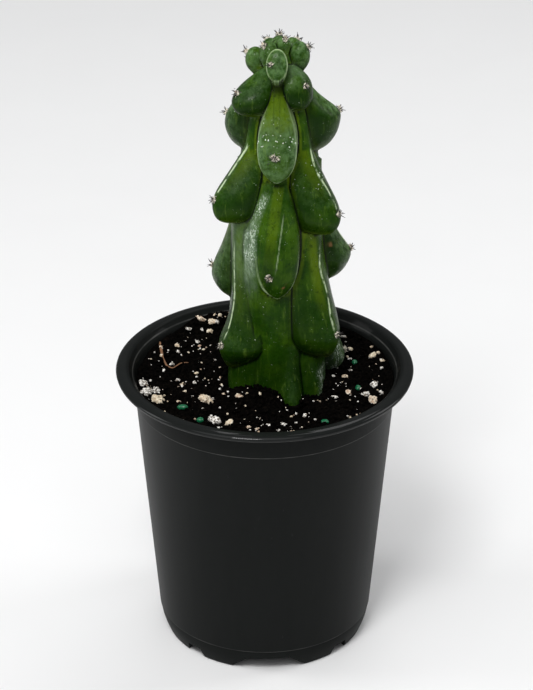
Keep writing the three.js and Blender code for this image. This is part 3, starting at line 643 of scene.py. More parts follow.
def ridge_share(x, y):
    """1 on a rib's crest, 0 in the groove between two ribs."""
    azimuth = np.degrees(np.arctan2(x, -y))
    ribs = np.array(RIBS)
    around = np.concatenate([ribs - 360, ribs, ribs + 360])
    after = np.searchsorted(around, azimuth)
    low, high = around[after - 1], around[after]
    share = (azimuth - low) / (high - low)
    return np.cos(np.minimum(share, 1 - share) * math.pi) ** RIDGE_POWER


def descent(z, row):
    """Shares of the way from a tubercle's neck to its tip and from there to its chin, and of its width."""
    along = np.maximum((row.neck_z - z) / (row.neck_z - row.tip_z), 0)
    below = np.clip((row.tip_z - z) / (row.tip_z - row.chin_z), 0, 1)
    sides = np.sin(np.minimum(along, 1) * math.pi / 2) ** row.taper
    return along, below, row.neck_share + (1 - row.neck_share) * sides


def pad_edge(sideways, z, row):
    """0 along a pad's middle line and 1 all round its outline."""
    _, below, spread = descent(z, row)
    return np.sqrt((sideways / (row.half_width * spread)) ** 2 + below ** (row.fullness * CHIN_WIDTH_SHARE))


def tubercle_measure(x, y, z, row):
    """Signed measure of points against one tubercle: below zero inside it."""
    outward, sideways = turned(x, y, row.azimuth)
    along, below, spread = descent(z, row)
    slope = row.neck_r + (row.tip_r - row.neck_r) * along**row.flare
    chin = row.chin_r + (row.tip_r - row.chin_r) * np.sqrt(1 - below**row.fullness)
    crest = blend(slope, chin, TIP_ROUNDING)
    width_cap = np.sqrt(1 - below ** (row.fullness * CHIN_WIDTH_SHARE))
    width = np.maximum(row.half_width * spread * width_cap, 1e-3)
    thickness = row.depth * (NECK_DEPTH_SHARE + (1 - NECK_DEPTH_SHARE) * np.minimum(along, 1))
    rise = np.maximum(outward - (crest - thickness), 0) / thickness
    section = ((np.abs(sideways) / width) ** row.power + rise**row.power) ** (1 / row.power)
    measure = (section - 1) * np.minimum(width, thickness) * MEASURE_SCALE
    beyond = np.maximum(z - row.neck_z, row.chin_z - z)
    measure = np.where(beyond > 0, np.maximum(measure, 0) + beyond, measure)
    return np.where(outward < 0, REACH, measure)


def knob_kind(row):
    """Section power and tilt of a knob: the pad in front is flat and looks up, the others are round."""
    return (PAD_POWER, PAD_TILT * DEGREE) if row is KNOBS[0] else (2, 0)


def knob_section(x, y, z, row):
    """How far before, aside and above a knob's middle points lie, in shares of its half sizes."""
    tilt = knob_kind(row)[1]
    out, sideways = turned(x, y, row.azimuth)
    out = out - row.radius
    rise = z - row.height
    outward = (out * math.cos(tilt) + rise * math.sin(tilt)) / row.half_depth
    upward = (rise * math.cos(tilt) - out * math.sin(tilt)) / row.half_height
    return outward, sideways / row.half_width, upward


def knob_measure(x, y, z, row):
    """Signed measure of points against one knob of the crown."""
    power = knob_kind(row)[0]
    outward, sideways, upward = knob_section(x, y, z, row)
    across = np.hypot(sideways, upward)
    section = (np.abs(outward) ** power + across**power) ** (1 / power)
    return (section - 1) * min(row.half_width, row.half_depth)


def core_measure(x, y, z):
    """Signed measure of points against the ribbed core."""
    groove = np.interp(z, CREST_Z, GROOVE)
    crest = np.interp(z, CREST_Z, CREST)
    measure = np.hypot(x, y) - (groove + (crest - groove) * ridge_share(x, y))
    return np.maximum(measure, np.maximum(z - STEM_TIP_Z, STEM_FOOT_Z - z))


def stem_measure(x, y, z):
    """Signed measure of points against the stem, with x and y from its axis."""
    measure = core_measure(x, y, z)
    for row in TUBERCLES:
        measure = blend(measure, tubercle_measure(x, y, z, row), row.blend)
    for row in KNOBS:
        measure = blend(measure, knob_measure(x, y, z, row), KNOB_BLEND)
    return measure


def surface_distance(origin_z, dx, dy, dz):
    """How far out the stem's surface lies along rays from the axis."""
    distance = np.full(dx.shape, float(REACH))
    active = np.arange(dx.size)
    while active.size:
        t = distance[active]
        measure = stem_measure(dx[active] * t, dy[active] * t, origin_z[active] + dz[active] * t)
        outside = measure >= 0
        active = active[outside]
        distance[active] -= np.clip(0.5 * measure[outside], *RAY_STRIDES)
        active = active[distance[active] > RAY_END]
    low, high = distance, distance + 3 * RAY_STRIDES[0]
    for _ in range(RAY_HALVINGS):
        middle = (low + high) / 2
        inside = stem_measure(dx * middle, dy * middle, origin_z + dz * middle) < 0
        low = np.where(inside, middle, low)
        high = np.where(inside, high, middle)
    return (low + high) / 2


def stem_grid():
    """The stem's skin as a grid of rings, with its two end points."""
    share = np.linspace(0, 1, STEM_ROWS)[1:-1]
    azimuth = full_turn(STEM_SIDES)
    tilt = np.interp(share, *RAY_TILTS) * DEGREE
    origin = np.repeat(np.interp(share, *RAY_ORIGINS), STEM_SIDES)
    dx = np.outer(np.cos(tilt), np.sin(azimuth)).ravel()
    dy = -np.outer(np.cos(tilt), np.cos(azimuth)).ravel()
    dz = np.repeat(np.sin(tilt), STEM_SIDES)
    t = surface_distance(origin, dx, dy, dz)
    points = np.stack([STEM_X + dx * t, STEM_Y + dy * t, origin + dz * t], -1)
    ends = np.array([RAY_ORIGINS[1][0], RAY_ORIGINS[1][-1]], float)
    ways = np.array([-1.0, 1.0])
    ends += ways * surface_distance(ends, np.zeros(2), np.zeros(2), ways)
    low, high = (np.array([STEM_X, STEM_Y, end]) for end in ends)
    return points.reshape(len(share), STEM_SIDES, 3), low, high


def grid_normals(grid):
    """Outward normals of a grid of rings that run anticlockwise seen from above."""
    around = np.roll(grid, -1, 1) - np.roll(grid, 1, 1)
    normals = np.cross(around, np.gradient(grid, axis=0))
    return normals / np.maximum(np.linalg.norm(normals, axis=-1, keepdims=True), 1e-9)


def hollowness(grid, normals, reach):
    """How hollow the surface is at each point, against neighbours about `reach` millimetres away."""
    rows = len(grid)
    index = np.arange(rows)
    spacing = np.median(np.linalg.norm(np.roll(grid, -1, 1) - grid, axis=-1))
    aside = max(1, round(reach / spacing))
    up = max(1, round(reach * rows / SKIN_LENGTH))
    neighbours = [(np.roll(grid, shift, 1), 1e-6) for shift in (aside, -aside)]
    neighbours += [(grid[np.clip(index + shift, 0, rows - 1)], 1e-2) for shift in (up, -up)]
    total = np.zeros(grid.shape[:2])
    for neighbour, least in neighbours:
        offset = neighbour - grid
        total += (offset * normals).sum(-1) / np.maximum((offset**2).sum(-1), least)
    return total


def front_pad_marks(x, y, z, own, marks):
    """Pale rim of the small pad in front of the crown, partly painted highlight, and the painted shade under
    it.
    """
    before, aside, above = knob_section(x, y, z, KNOBS[0])
    low_side = eased(-above, 0.55, 0.8)
    face = eased(before, 0.25, 0.5) * (1 - low_side) + eased(before, 0.56, 0.68) * low_side
    marks["edge"] += own * 0.8 * eased(np.hypot(aside, above), 0.88, 0.93) * face
    marks["shade"] += own * low_side * (1 - face)


def lower_pad_marks(sideways, z, own, marks):
    """Pale rim round the lower end, partly painted highlight, a fine keel line of painted highlight, and
    beside it a stripe from yellow-green to dark.
    """
    row = TUBERCLES[LOWER_PAD]
    line = window(pad_edge(sideways, z, row), *RIM_LINE) * eased(z, 228, 216)
    marks["edge"] += own * line * (0.4 + 0.6 * eased(z, 212, 202))
    keel = sideways - KEEL_LEAN * (z - KEEL_Z)
    marks["ridge_highlight"] += own * 0.4 * eased(np.abs(keel), 0.45, 0.05) * window(z, *KEEL_HEIGHTS)
    stripe = own * 0.6 * window(keel, *STRIPE_BESIDE_KEEL)
    marks["strip"] += stripe * eased(z, 212, 236)
    marks["nose"] += stripe * eased(z, 236, 224)


def upper_pad_marks(sideways, z, own, marks):
    """Pale rim, partly painted highlight, yellow-green neck with two folds of painted shade, and haze on the
    face, growing towards the rim as painted sheen.
    """
    side = pad_edge(sideways, z, TUBERCLES[UPPER_PAD])
    line = window(side, *RIM_LINE) * eased(z, 305, 299)
    marks["edge"] += own * line * (0.45 + 0.55 * eased(z, 282, 274))
    marks["strip"] += own * 0.95 * eased(z, 284, 292)
    from_fold = np.minimum(*(np.abs(sideways - fold) for fold in NECK_FOLDS))
    marks["shade"] += own * 0.3 * eased(from_fold, 0.45, 0.1) * eased(z, 283, 294)
    marks["haze"] += own * eased(z, 300, 292) * (0.45 + 0.5 * eased(side, 0.4, 0.95))


def lobe_marks(index, sideways, z, radius, own, marks):
    """Painted highlight along a wavering ridge, yellow-green strip on its inner side, dark tip and lighter
    underside.
    """
    row = TUBERCLES[index]
    along = (row.neck_z - z) / (row.neck_z - row.tip_z)
    ridged = own * (row.neck_z < RIDGED_BELOW)
    waver = 0.9 * wave_noise(z[..., None] + 40 * index, 16, index)
    line = eased(np.abs(sideways - waver), 0.75, 0.25)
    marks["ridge_highlight"] += ridged * line * window(along, *RIDGE_SHARES)
    inner = sideways if row.azimuth < 0 else -sideways
    strength = 0.4 if index == LEFT_LOW else 1
    marks["strip"] += ridged * strength * window(inner, *STRIP_WIDTH) * window(along, *STRIP_SHARES)
    start = 0.05 if index in (LEFT_TOP, LEFT_MIDDLE, RIGHT_MIDDLE) else 0.35
    marks["nose"] += own * eased(along, start, 1) * eased(radius, 41, 25)
    marks["lip"] += own * eased((row.tip_z - z) / (row.tip_z - row.chin_z), 0.55, 1)


def frost_marks(z, azimuth, upward, owner, ridge_highlight):
    """Frost and dots, with painted highlights: a glossy band from the upper pad down to the left, with glint
    streaks in it and at the right foot.
    """
    middle = np.maximum(-18 - 0.75 * (252 - z), -33)
    half_width = 8 + 5.5 * eased(z, 244, 226)
    painted_gloss = eased(np.abs(azimuth - middle), half_width, half_width - 7) * window(z, *GLOSS_HEIGHTS)
    pad = (owner == UPPER_PAD + 1) * window(z, *PAD_FROST_HEIGHTS) * eased(z, 300, 292)
    foot = window(azimuth, *FOOT_FROST_AZIMUTHS) * eased(z, 158, 152)
    foot = np.maximum(foot, (owner == RIGHT_BACK_LOW + 1) * eased(azimuth, 100, 90))
    shoulder = 0.28 * (owner == RIGHT_TOP + 1) * eased(upward, 0.45, 0.8)
    low_left = 0.3 * (owner == LEFT_LOW + 1) * eased(z, 196, 214)
    low, high = DOT_AZIMUTHS
    dots = 0.7 * (azimuth > low) * (azimuth < high) * window(z, *DOT_HEIGHTS)
    return painted_gloss, {
        "frost_and_sheen": np.maximum.reduce([painted_gloss * (ridge_highlight < 0.3), 0.15 * pad, shoulder, 0.22 * foot, low_left]),
        "painted_glints": np.maximum(painted_gloss * eased(z, 212, 222), 0.9 * foot),
        "dots": np.maximum(pad, dots),
    }


def skin_values(grid):
    """What the skin's material reads at each point, from 0 to 1, by name."""
    normals = grid_normals(grid)
    upward = normals[..., 2]
    x, y, z = grid[..., 0] - STEM_X, grid[..., 1] - STEM_Y, grid[..., 2]
    radius = np.hypot(x, y)
    azimuth = np.degrees(np.arctan2(x, -y))
    # the owner of a point is the core (0), a tubercle or a knob, whichever measures least
    measures = [core_measure(x, y, z)]
    measures += [tubercle_measure(x, y, z, row) for row in TUBERCLES]
    measures += [knob_measure(x, y, z, row) for row in KNOBS]
    owner = np.argmin(measures, 0)
    nearest = np.partition(measures, 1, axis=0)
    names = ("edge", "ridge_highlight", "strip", "nose", "lip", "scar", "shade", "haze")
    marks = {name: np.zeros(z.shape) for name in names}
    front_pad_marks(x, y, z, owner == len(TUBERCLES) + 1, marks)
    for index, row in enumerate(TUBERCLES):
        own = owner == index + 1
        sideways = turned(x, y, row.azimuth)[1]
        if index == LOWER_PAD:
            lower_pad_marks(sideways, z, own, marks)
        elif index == UPPER_PAD:
            upper_pad_marks(sideways, z, own, marks)
        elif index not in PLAIN:
            lobe_marks(index, sideways, z, radius, own, marks)
    ragged = 0.5 * wave_noise(grid, 1.5, 21)
    for place, height, size in SCARS:
        away = np.hypot((azimuth - place) * DEGREE * radius, z - height) + ragged
        marks["scar"] = np.maximum(marks["scar"], eased(away, size + 0.3, size - 0.5))
    painted_gloss, frost_and_sheen = frost_marks(z, azimuth, upward, owner, marks["ridge_highlight"])
    # painted shade in the creases where two parts of the skin meet, weaker in the glossy band
    painted_crease_shade = eased(nearest[1] - nearest[0], 0.75, 0.25)
    painted_crease_shade *= eased(hollowness(grid, normals, 1.3), 0.02, 0.3) * (1 - 0.8 * painted_gloss)
    # painted shade over the upper pad, under the small pad in front
    over_pad = 0.85 * np.isin(owner, (0, UPPER_PAD + 1)) * (np.abs(azimuth) < 60)
    over_pad = over_pad * window(z, *SHADE_OVER_PAD)
    painted_crease_shade = np.maximum.reduce([painted_crease_shade, marks.pop("shade"), over_pad])
    grooves = eased(hollowness(grid, normals, 4), 0.02, 0.2) * eased(z, 165, 215)
    grooves *= eased(radius - np.interp(z, CREST_Z, CREST), 3, -2)
    # bloom on faces that look up, more on the back, the crown and the upper pad's haze; the extra on the back
    # and back left is painted light
    behind = eased(np.abs(azimuth), 72, 95)
    crown = np.where(owner > len(TUBERCLES), 1, 0.3) * eased(z, 303, 318)
    bloom_and_painted_light = (0.25 + 0.4 * behind) * eased(upward, 0.05, 0.75)
    bloom_and_painted_light += (0.3 + 0.05 * (azimuth < 0)) * behind + 0.6 * crown + marks.pop("haze")
    return {
        **marks,
        **frost_and_sheen,
        "crease_shade": painted_crease_shade,
        "groove": grooves,
        "bloom_and_painted_light": np.clip(bloom_and_painted_light * (1 - 0.6 * marks["strip"]), 0, 1),
        # painted shade: darker towards the foot of the stem
        "base": eased(z, 172, 154) * eased(radius, 40, 34),
    }


def make_stem(material):
    grid, low, high = stem_grid()
    points, triangles = closed_grid(grid, low, high)
    stem = add_piece("cactus_stem", points, triangles, material, "cactus_skin", replaces="stem")
    for name, value in skin_values(grid).items():
        set_values(stem, name, np.concatenate([value.ravel(), [0, 0]]))


# Areoles


def areole_places():
    """Place, direction and size of the areole on each tubercle and knob."""
    places = []
    for index, row in enumerate(TUBERCLES):
        if index in PLAIN:
            continue
        outward, _ = facing(row.azimuth + row.aside)
        height = row.tip_z - row.drop
        reach = surface_distance(np.array([height]), *outward[:, None])[0]
        place = np.array([STEM_X, STEM_Y, height]) + outward * (reach - AREOLE_SEAT)
        size = WIDE_AREOLE if index in (LOWER_PAD, UPPER_PAD) else 1
        places.append((place, outward + (0, 0, AREOLE_RISE), size))
    for row in KNOBS:
        power, tilt = knob_kind(row)
        level, sideways = facing(row.azimuth)
        outward = level * math.cos(tilt) + (0, 0, math.sin(tilt))
        upward = np.cross(sideways, -outward)
        low, up = math.cos(row.rise * DEGREE), math.sin(row.rise * DEGREE)
        ahead, across = low * math.cos(row.aside * DEGREE), low * math.sin(row.aside * DEGREE)
        offset = outward * ahead * row.half_depth
        offset = offset + sideways * across * row.half_width + upward * up * row.half_height
        offset /= (ahead**power + math.hypot(across, up) ** power) ** (1 / power)
        look = outward * ahead + sideways * across + upward * up
        place = np.array([STEM_X, STEM_Y, row.height]) + level * row.radius + offset - look * AREOLE_SEAT
        places.append((place, look, SMALL_AREOLE if row is KNOBS[0] else 1))
    return [(place, look / np.linalg.norm(look), size) for place, look, size in places]


def thorn(place, direction, length, width, random, sides=5, bend=0.12):
    """A slender curved spike: points, triangles and each point's share of the way along."""
    side = np.cross(direction, random.normal(size=3))
    side /= np.linalg.norm(side)
    other = np.cross(direction, side)
    curve = side * bend * length * random.uniform(-1, 1)
    stations = np.array([0, 0.25, 0.5, 0.75, 0.93])
    angles = full_turn(sides)
    spokes = np.outer(np.cos(angles), side) + np.outer(np.sin(angles), other)
    rings = []
    for share in stations:
        centre = place + direction * (length * share) + curve * share**2
        rings.append(centre + width / 2 * (1 - 0.8 * share) * spokes)
    points, triangles = closed_grid(np.array(rings), place, place + direction * length + curve)
    return points, triangles, np.concatenate([np.repeat(stations, sides), [0, 1]])


def across(outward, angle):
    """A direction across the outward one."""
    side = np.cross(outward, [0, 0, 1])
    side /= np.linalg.norm(side)
    return math.cos(angle) * side + math.sin(angle) * np.cross(side, outward)


def make_areoles(wool, spines):
    """On each areole dark felt, a few tufts of cream wool and short dark spines between them."""
    random = np.random.default_rng(AREOLE_SEED)
    fibres, felt, thorns, along, tint = [], [], [], [], []
    for place, outward, size in areole_places():
        tufts = [(place, FELT_SPREAD * size, FELT_FIBRES, 1)]
        for index in range(TUFTS):
            turn = (index + random.uniform(0, 0.6)) / TUFTS * 2 * math.pi
            aside = across(outward, turn) * random.uniform(*TUFT_RING) * size
            tufts.append((place + aside + outward * TUFT_RISE, TUFT_SPREAD * size, TUFT_FIBRES, 0))
        for centre, spread, count, dark in tufts:
            for _ in range(count):
                start = centre + random.normal(size=3) * spread - outward * FIBRE_SEAT
                direction = outward + FIBRE_SCATTER * random.normal(size=3)
                direction /= np.linalg.norm(direction)
                length = random.uniform(*FIBRE_LENGTHS)
                points, triangles, _ = thorn(start, direction, length, FIBRE_WIDTH, random, 3, FIBRE_BEND)
                fibres.append((points, triangles))
                felt.append(np.full(len(points), dark))
        for index in range(SPINES):
            turn = (index + random.uniform(0, 0.7)) / SPINES * 2 * math.pi
            direction = outward + random.uniform(*SPINE_LEAN) * across(outward, turn)
            direction /= np.linalg.norm(direction)
            length = random.uniform(*SPINE_LENGTHS)
            start = place + SPINE_START * outward
            points, triangles, share = thorn(start, direction, length, SPINE_WIDTH, random)
            thorns.append((points, triangles))
            along.append(share)
            tint.append(np.full(len(share), random.uniform()))
    piece = add_piece("areole_wool", *joined(fibres), wool, "areole")
    set_values(piece, "felt", np.concatenate(felt))
    piece = add_piece("areole_spines", *joined(thorns), spines, "spine")
    set_values(piece, "along", np.concatenate(along))
    set_values(piece, "tint", np.concatenate(tint))


# Soil


def soil_height(x, y):
    """Height of the soil's broad surface."""
    height, per_x, per_y = COARSE_RIPPLE
    level = SOIL_LEVEL + height * (np.sin(x * per_x + 1) * np.cos(y * per_y))
    height, per_x, per_y = FINE_RIPPLE
    level = level + height * np.sin(y * per_y + x * per_x)
    height, place, spread = BACK_RISE
    level = level + height / (1 + np.exp((place - y) / spread))
    for height, place_x, place_y, spread_x, spread_y in RELIEF:
        away = -(((x - place_x) / spread_x) ** 2) - ((y - place_y) / spread_y) ** 2
        level = level + height * np.exp(away)
    height, place, spread = STEM_MOUND
    away = (np.hypot(x - STEM_X, y - STEM_Y) - place) / spread
    return level + height * np.exp(-(away**2))


def inner_radius(z):
    """Inner radius of the pot's wall."""
    share = (z - FOOT_STEP_Z) / (BAND_Z - FOOT_STEP_Z)
    lower = FOOT_STEP_RADIUS + share * (BAND_RADIUS - FOOT_STEP_RADIUS)
    share = (z - BAND_Z) / (NECK_Z - BAND_Z)
    upper = BAND_RADIUS + BAND_STEP + share * (NECK_RADIUS - BAND_RADIUS - BAND_STEP)
    return float(lower if z <= BAND_Z else upper) - WALL


def crumble(x, y):
    """Fine relief of the peat: lumps and cracks."""
    flat = np.stack([x, y], -1)
    lumps = 0.9 - 2.2 * np.abs(wave_noise(flat, 4.2, 3)) * np.abs(wave_noise(flat, 6.5, 4))
    grit = 0.5 * np.abs(wave_noise(flat, 1.7, 5)) + 0.25 * wave_noise(flat, 0.9, 6)
    return 0.75 * lumps + grit - 0.5


def make_soil(material):
    """The peat: a hole round the stem, the crumbly top and the sides that follow the pot."""
    azimuth = full_turn(SOIL_SIDES)
    dx, dy = np.sin(azimuth), -np.cos(azimuth)
    edge = inner_radius(SOIL_LEVEL) - CLEARANCE
    along = dx * STEM_X + dy * STEM_Y
    to_wall = -along + np.sqrt(along**2 - (STEM_X**2 + STEM_Y**2) + edge**2)
    flat = np.zeros(SOIL_SIDES)
    grid = []
    for z in (STEM_FOOT_Z - 1, *BURIED_LEVELS):
        measured = np.full(SOIL_SIDES, float(max(z, STEM_FOOT_Z + 0.5)))
        hole = surface_distance(measured, dx, dy, flat) + STEM_CLEARANCE
        grid.append(np.stack([STEM_X + dx * hole, STEM_Y + dy * hole, flat + z], -1))
    level = soil_height(STEM_X + dx * MOUTH_RADIUS, STEM_Y + dy * MOUTH_RADIUS)
    hole = surface_distance(level, dx, dy, flat) + CLEARANCE
    for share in np.linspace(0, 1, SOIL_RINGS):
        reach = hole + (to_wall - hole) * share**0.9
        x, y = STEM_X + dx * reach, STEM_Y + dy * reach
        fade = min(1, (1 - share) * 40)
        grid.append(np.stack([x, y, soil_height(x, y) + crumble(x, y) * (0.3 + 0.7 * fade)], -1))
    edge_x, edge_y = STEM_X + dx * to_wall, STEM_Y + dy * to_wall
    for radius, z in ((inner_radius(BAND_Z) - 0.8, BAND_Z - 1), *SOIL_FOOT):
        share = radius / edge
        grid.append(np.stack([edge_x * share, edge_y * share, flat + z], -1))
    grid = np.array(grid)[::-1]
    points, triangles = closed_grid(grid, (0, 0, SOIL_FOOT[-1][1]), (STEM_X, STEM_Y, STEM_FOOT_Z - 1))
    add_piece("peat", points, triangles, material, "potting_mix", replaces="soil")


def lump(ball, size, random, noise, planes):
    """An irregular grain from a ball: rounded lumps, or flat faces cut by random planes."""
    points, triangles = ball
    shift = random.uniform(-50, 50, 3)
    radius = 1 + noise * wave_noise(points + shift, 0.9, 11)
    for _ in range(planes):
        normal = random.normal(size=3)
        normal /= np.linalg.norm(normal)
        facet = np.maximum(points @ normal, 1e-3)
        radius = np.minimum(radius, random.uniform(0.62, 0.95) / facet)
    radius = radius + 0.5 * noise * wave_noise(points + shift, 0.4, 12)
    radius = radius - 0.5 * noise * np.abs(wave_noise(points + shift, 0.22, 13))
    shape = points * radius[:, None] * np.asarray(size) / 2
    turn = Euler(random.uniform(-0.35, 0.35, 3)).to_matrix()
    spin = Euler((0, 0, random.uniform(0, 2 * math.pi))).to_matrix()
    return shape @ np.array(spin @ turn).T, triangles


def add_grains(name, slot, material, rows, random, ball, noise, planes, seat=0.12, smooth=True):
    """Grains that lie on the soil, as one piece. `seat` is how far up they sit, in shares of their width."""
    parts, tint = [], []
    for x, y, length, width in rows:
        points, triangles = lump(ball, (length, width, width * GRAIN_FLATNESS), random, noise, planes)
        parts.append((points + (x, y, float(soil_height(x, y)) + width * seat), triangles))
        tint.append(np.full(len(points), random.uniform()))
    piece = add_piece(name, *joined(parts), material, slot, smooth=smooth)
    if slot == "bark":
        set_values(piece, "tint", np.concatenate(tint))


def scattered(count, random, low, high, inner=STEM_CLEAR, clustered=True):
    """Rows of x, y, length and width over the soil, in clusters, clear of the stem and the wall."""
    rows = []
    while len(rows) < count:
        x, y = random.uniform(-65, 65, 2)
        if np.hypot(x, y) > GRAIN_REACH or np.hypot(x - STEM_X, y - STEM_Y) < inner:
            continue
        if clustered and wave_noise(np.array([x, y]), 16, 31) < random.uniform(-1.2, 1.4):
            continue
        width = low + (high - low) * random.uniform() ** 2
        rows.append((x, y, width * random.uniform(1, 1.6), width))
    return rows


def crumbs_at_stem(count, random, low, high):
    """Rows of x, y, length and width close to the stem's skin, where it comes out of the soil."""
    turn = random.uniform(0, 2 * math.pi, count)
    dx, dy = np.sin(turn), -np.cos(turn)
    level = soil_height(STEM_X + dx * STEM_CLEAR, STEM_Y + dy * STEM_CLEAR)
    reach = surface_distance(level, dx, dy, np.zeros(count)) + random.uniform(0.2, 2.2, count)
    width = random.uniform(low, high, count)
    return list(zip(STEM_X + dx * reach, STEM_Y + dy * reach, width * random.uniform(1, 1.6, count), width))


def make_grains(peat):
    random = np.random.default_rng(GRAIN_SEED)
    fine, middle, coarse = (icosphere(level) for level in (4, 3, 1))
    perlite, bark = perlite_material(), bark_material()
    add_grains("perlite", "perlite", perlite, PERLITE, random, fine, 0.26, 4)
    add_grains("bark_chips", "bark", bark, BARK, random, fine, 0.2, 8)
    add_grains("fertiliser_prills", "fertiliser_prill", prill_material(), PRILLS, random, middle, 0.04, 0)
    rows = scattered(210, random, 0.6, 1.8)
    add_grains("perlite_specks", "perlite", perlite, rows, random, coarse, 0.2, 3, 0.3, smooth=False)
    rows = scattered(110, random, 0.6, 2.2)
    add_grains("bark_specks", "bark", bark, rows, random, coarse, 0.2, 3, 0.3, smooth=False)
    rows = scattered(1500, random, 0.9, 3.0, 26, clustered=False) + crumbs_at_stem(260, random, 1, 3)
    add_grains("peat_crumbs", "potting_mix", peat, rows, random, coarse, 0.22, 2, 0.2, smooth=False)


def make_twig():
    """A thin bent twig, swept along a smooth line on the soil."""
    route = np.array([(x, y, float(soil_height(x, y)) + 0.6) for x, y in TWIG])
    share = np.linspace(0, len(route) - 1, 60)
    line = np.stack([np.interp(share, np.arange(len(route)), route[:, k]) for k in range(3)], -1)
    for _ in range(12):
        line[1:-1] = (line[:-2] + 2 * line[1:-1] + line[2:]) / 4
    ahead = np.gradient(line, axis=0)
    ahead /= np.linalg.norm(ahead, axis=1, keepdims=True)
    side = np.cross(ahead, [0, 0, 1])
    side /= np.linalg.norm(side, axis=1, keepdims=True)
    other = np.cross(side, ahead)
    angles = full_turn(10)
    taper = np.interp(share, (0, 1, 5), (1.3, 0.95, 0.35))
    width = TWIG_WIDTH / 2 * (1 + 0.25 * wave_noise(line, 5, 9)) * taper
    turns = np.cos(angles)[None, :, None], np.sin(angles)[None, :, None]
    grid = line[:, None] + width[:, None, None] * (turns[0] * side[:, None] + turns[1] * other[:, None])
    add_piece("twig", *closed_grid(grid, line[0], line[-1]), twig_material(), "bark")


# Pot


def arc(fall, reach, start, end, steps):
    """Points round the top of the lip, with angles in degrees from the outward direction."""
    angles = np.linspace(start, end, steps + 1) * DEGREE
    offsets = zip(reach * np.cos(angles), fall * np.sin(angles))
    return corner(LIP_TOP_RADIUS, POT_HEIGHT - fall, *offsets)


def corner(radius, height, *offsets):
    """Points close to a corner of the pot's section."""
    return [(radius + aside, height + up) for aside, up in offsets]


def pot_profile():
    """Radius and height along the pot's section, out along the underside and back inside."""
    floor_radius = inner_radius(FLOOR_TOP + FLOOR_CORNER) - BAND_STEP
    widening = FOOT_STEP_RADIUS - BAND_STEP - FOOT_RADIUS
    foot = [(FOOT_RADIUS + widening * math.sin(share * math.pi / 2), (FOOT_STEP_Z - 0.3) * share)
            for share in np.linspace(0.03, 1, 9)]
    return [
        (0.01, FLOOR_UNDERSIDE),
        *corner(FOOT_RADIUS, FLOOR_UNDERSIDE, (-0.9, 0), (-0.2, -0.7)),
        *corner(FOOT_RADIUS, 0, (-FOOT_WIDTH, 0.3), (0.3 - FOOT_WIDTH, 0), (-0.3, 0)),
        *foot,
        *corner(FOOT_STEP_RADIUS, FOOT_STEP_Z, (-0.1, -0.05), (0, 0.2)),
        *corner(BAND_RADIUS, BAND_Z, (0, -0.35), (0.1, -0.2), (BAND_STEP - 0.1, 0), (BAND_STEP, 0.2)),
        *corner(NECK_RADIUS, NECK_Z, (0, 0), (0.3, 1), (0.9, 1.8)),
        *corner(LIP_TOP_RADIUS, POT_HEIGHT - WALL - 0.1, (-1, 0), (2, 0)),
        *corner(RIM_RADIUS - WALL - 0.1, LIP_EDGE_Z, (-0.3, 1.4), (0, 1), (0, 0.2), (0.25, 0)),
        *corner(RIM_RADIUS, LIP_EDGE_Z, (-0.5, 0), (-0.3, 0.25)),
        *arc(LIP_ROUNDING, RIM_RADIUS - LIP_TOP_RADIUS, 0, 90, 10),
        *arc(LIP_INNER_FALL, LIP_TOP_RADIUS - LIP_INNER_RADIUS, 100, 180, 6),
        (NECK_RADIUS - 0.3, NECK_Z + 1.2),
        *corner(NECK_RADIUS - WALL, NECK_Z, (0.1, -0.3), (-0.05, -0.9)),
        (BAND_RADIUS - WALL, BAND_Z - 1),
        *corner(floor_radius, FLOOR_TOP, (0, FLOOR_CORNER), (-0.6, 0.6), (-FLOOR_CORNER, 0)),
        (0.01, FLOOR_TOP),
    ]


def prism(outline, azimuth, radii):
    """A cutter: an outline of (sideways, height) points, drawn out from one radius to another."""
    outward, sideways = facing(azimuth)
    grid = np.array([[outward * r + sideways * s + np.array([0, 0, h]) for s, h in outline] for r in radii])
    return closed_grid(grid, *grid.mean(1))


def disc(x, y, radius, low, high, sides=40):
    """A cutter for a round hole."""
    angles = full_turn(sides)
    ring = np.stack([x + radius * np.cos(angles), y + radius * np.sin(angles)], -1)
    grid = np.array([np.column_stack([ring, np.full(sides, z)]) for z in (low, high)])
    return closed_grid(grid, (x, y, low), (x, y, high))


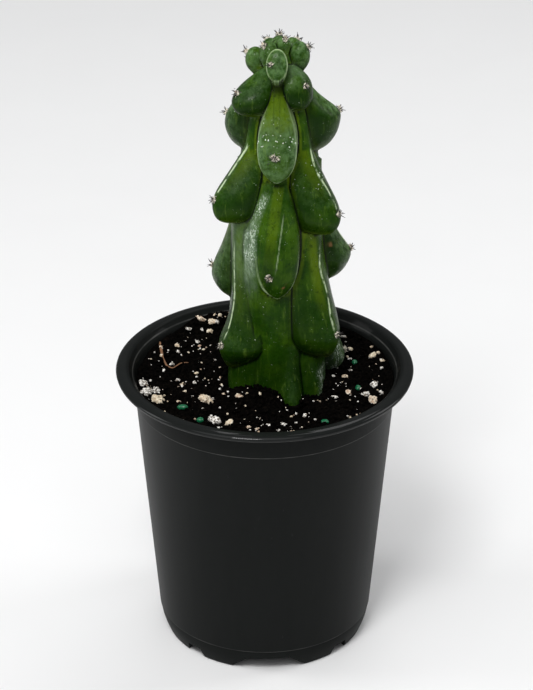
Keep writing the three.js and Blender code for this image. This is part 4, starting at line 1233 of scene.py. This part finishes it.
def make_pot(material):
    """The pot, turned from its section, with the notches of its foot and the drain holes cut out."""
    radius, height = np.array(pot_profile()).T
    angles = full_turn(POT_SIDES)
    grid = np.stack([np.outer(radius, np.cos(angles)), np.outer(radius, np.sin(angles)),
                     np.repeat(height[:, None], POT_SIDES, 1)], -1)
    points, triangles = closed_grid(grid, (0, 0, FLOOR_UNDERSIDE), (0, 0, FLOOR_TOP))
    pot = make_object("nursery_pot", points, triangles, material)
    cutters = [disc(0, 0, **DRAIN_HOLE)]
    for quarter in range(4):
        azimuth = NOTCH_AZIMUTH + 90 * quarter
        for (bottom, top, height), turn in ((WIDE_NOTCH, 0), (NARROW_NOTCH, 45)):
            outline = [(-bottom / 2, -1), (bottom / 2, -1), (bottom / 2, 0), (top / 2, height),
                       (-top / 2, height), (-bottom / 2, 0)]
            cutters.append(prism(outline, azimuth + turn, NOTCH_RADII))
        x, y, _ = DRAIN_CIRCLE_RADIUS * facing(azimuth)[0]
        cutters.append(disc(x, y, **DRAIN_HOLE))
    cutter = make_object("cutter", *joined(cutters), material)
    modifier = pot.modifiers.new("notches", "BOOLEAN")
    modifier.operation = "DIFFERENCE"
    modifier.solver = "EXACT"
    modifier.object = cutter
    graph = bpy.context.evaluated_depsgraph_get()
    cut = bpy.data.meshes.new_from_object(pot.evaluated_get(graph))
    pot.modifiers.clear()
    pot.data = cut
    bpy.data.objects.remove(cutter)
    pot.data.set_sharp_from_angle(angle=SHARP_ANGLE * DEGREE)
    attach(pot, ROOT)
    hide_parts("pot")


# Camera, floor and light


def make_camera():
    data = bpy.data.cameras.new("camera")
    data.sensor_width = SENSOR
    data.lens = SENSOR * FOCAL_PIXELS / IMAGE_HEIGHT
    data.shift_x = (IMAGE_WIDTH / 2 - AXIS_PIXEL_X) / IMAGE_HEIGHT
    data.clip_start = CAMERA_NEAR
    camera = bpy.data.objects.new("camera", data)
    camera.location = (0, -CAMERA_DISTANCE, CAMERA_HEIGHT)
    camera.rotation_euler = ((90 - CAMERA_PITCH) * DEGREE, 0, 0)
    bpy.context.scene.collection.objects.link(camera)
    bpy.context.scene.camera = camera


def make_floor():
    half = FLOOR_HALF
    points = [(-half, -half, 0), (half, -half, 0), (half, half, 0), (-half, half, 0)]
    floor = make_object("floor", points, [(0, 1, 2), (0, 2, 3)], floor_material())
    floor.location.z = -FLOOR_DROP * MM


def add_light(data, place, direction):
    light = bpy.data.objects.new(data.name, data)
    light.location = place
    light.rotation_euler = Vector(direction).to_track_quat("-Z", "Y").to_euler()
    bpy.context.scene.collection.objects.link(light)


def make_light():
    world = bpy.data.worlds.new("world")
    world.use_nodes = True
    glow = world.node_tree.nodes["Background"].inputs
    glow["Color"].default_value = GLOW_COLOR
    glow["Strength"].default_value = GLOW_STRENGTH
    bpy.context.scene.world = world
    for name, place, size, power in SOFTBOXES:
        softbox = bpy.data.lights.new(name, "AREA")
        softbox.shape = "RECTANGLE"
        softbox.size, softbox.size_y = size
        softbox.energy = power
        add_light(softbox, place, Vector(SOFTBOX_TARGET) - Vector(place))
    sun = bpy.data.lights.new("sky", "SUN")
    sun.energy = SUN_POWER
    sun.angle = SUN_SPREAD * DEGREE
    add_light(sun, (0, 0, 0), SUN_DIRECTION)
    bpy.context.scene.view_settings.view_transform = "Standard"


make_camera()
peat_surface = peat_material()
make_pot(pot_material())
make_soil(peat_surface)
make_stem(skin_material())
make_areoles(wool_material(), spine_material())
make_grains(peat_surface)
make_twig()
make_floor()
make_light()
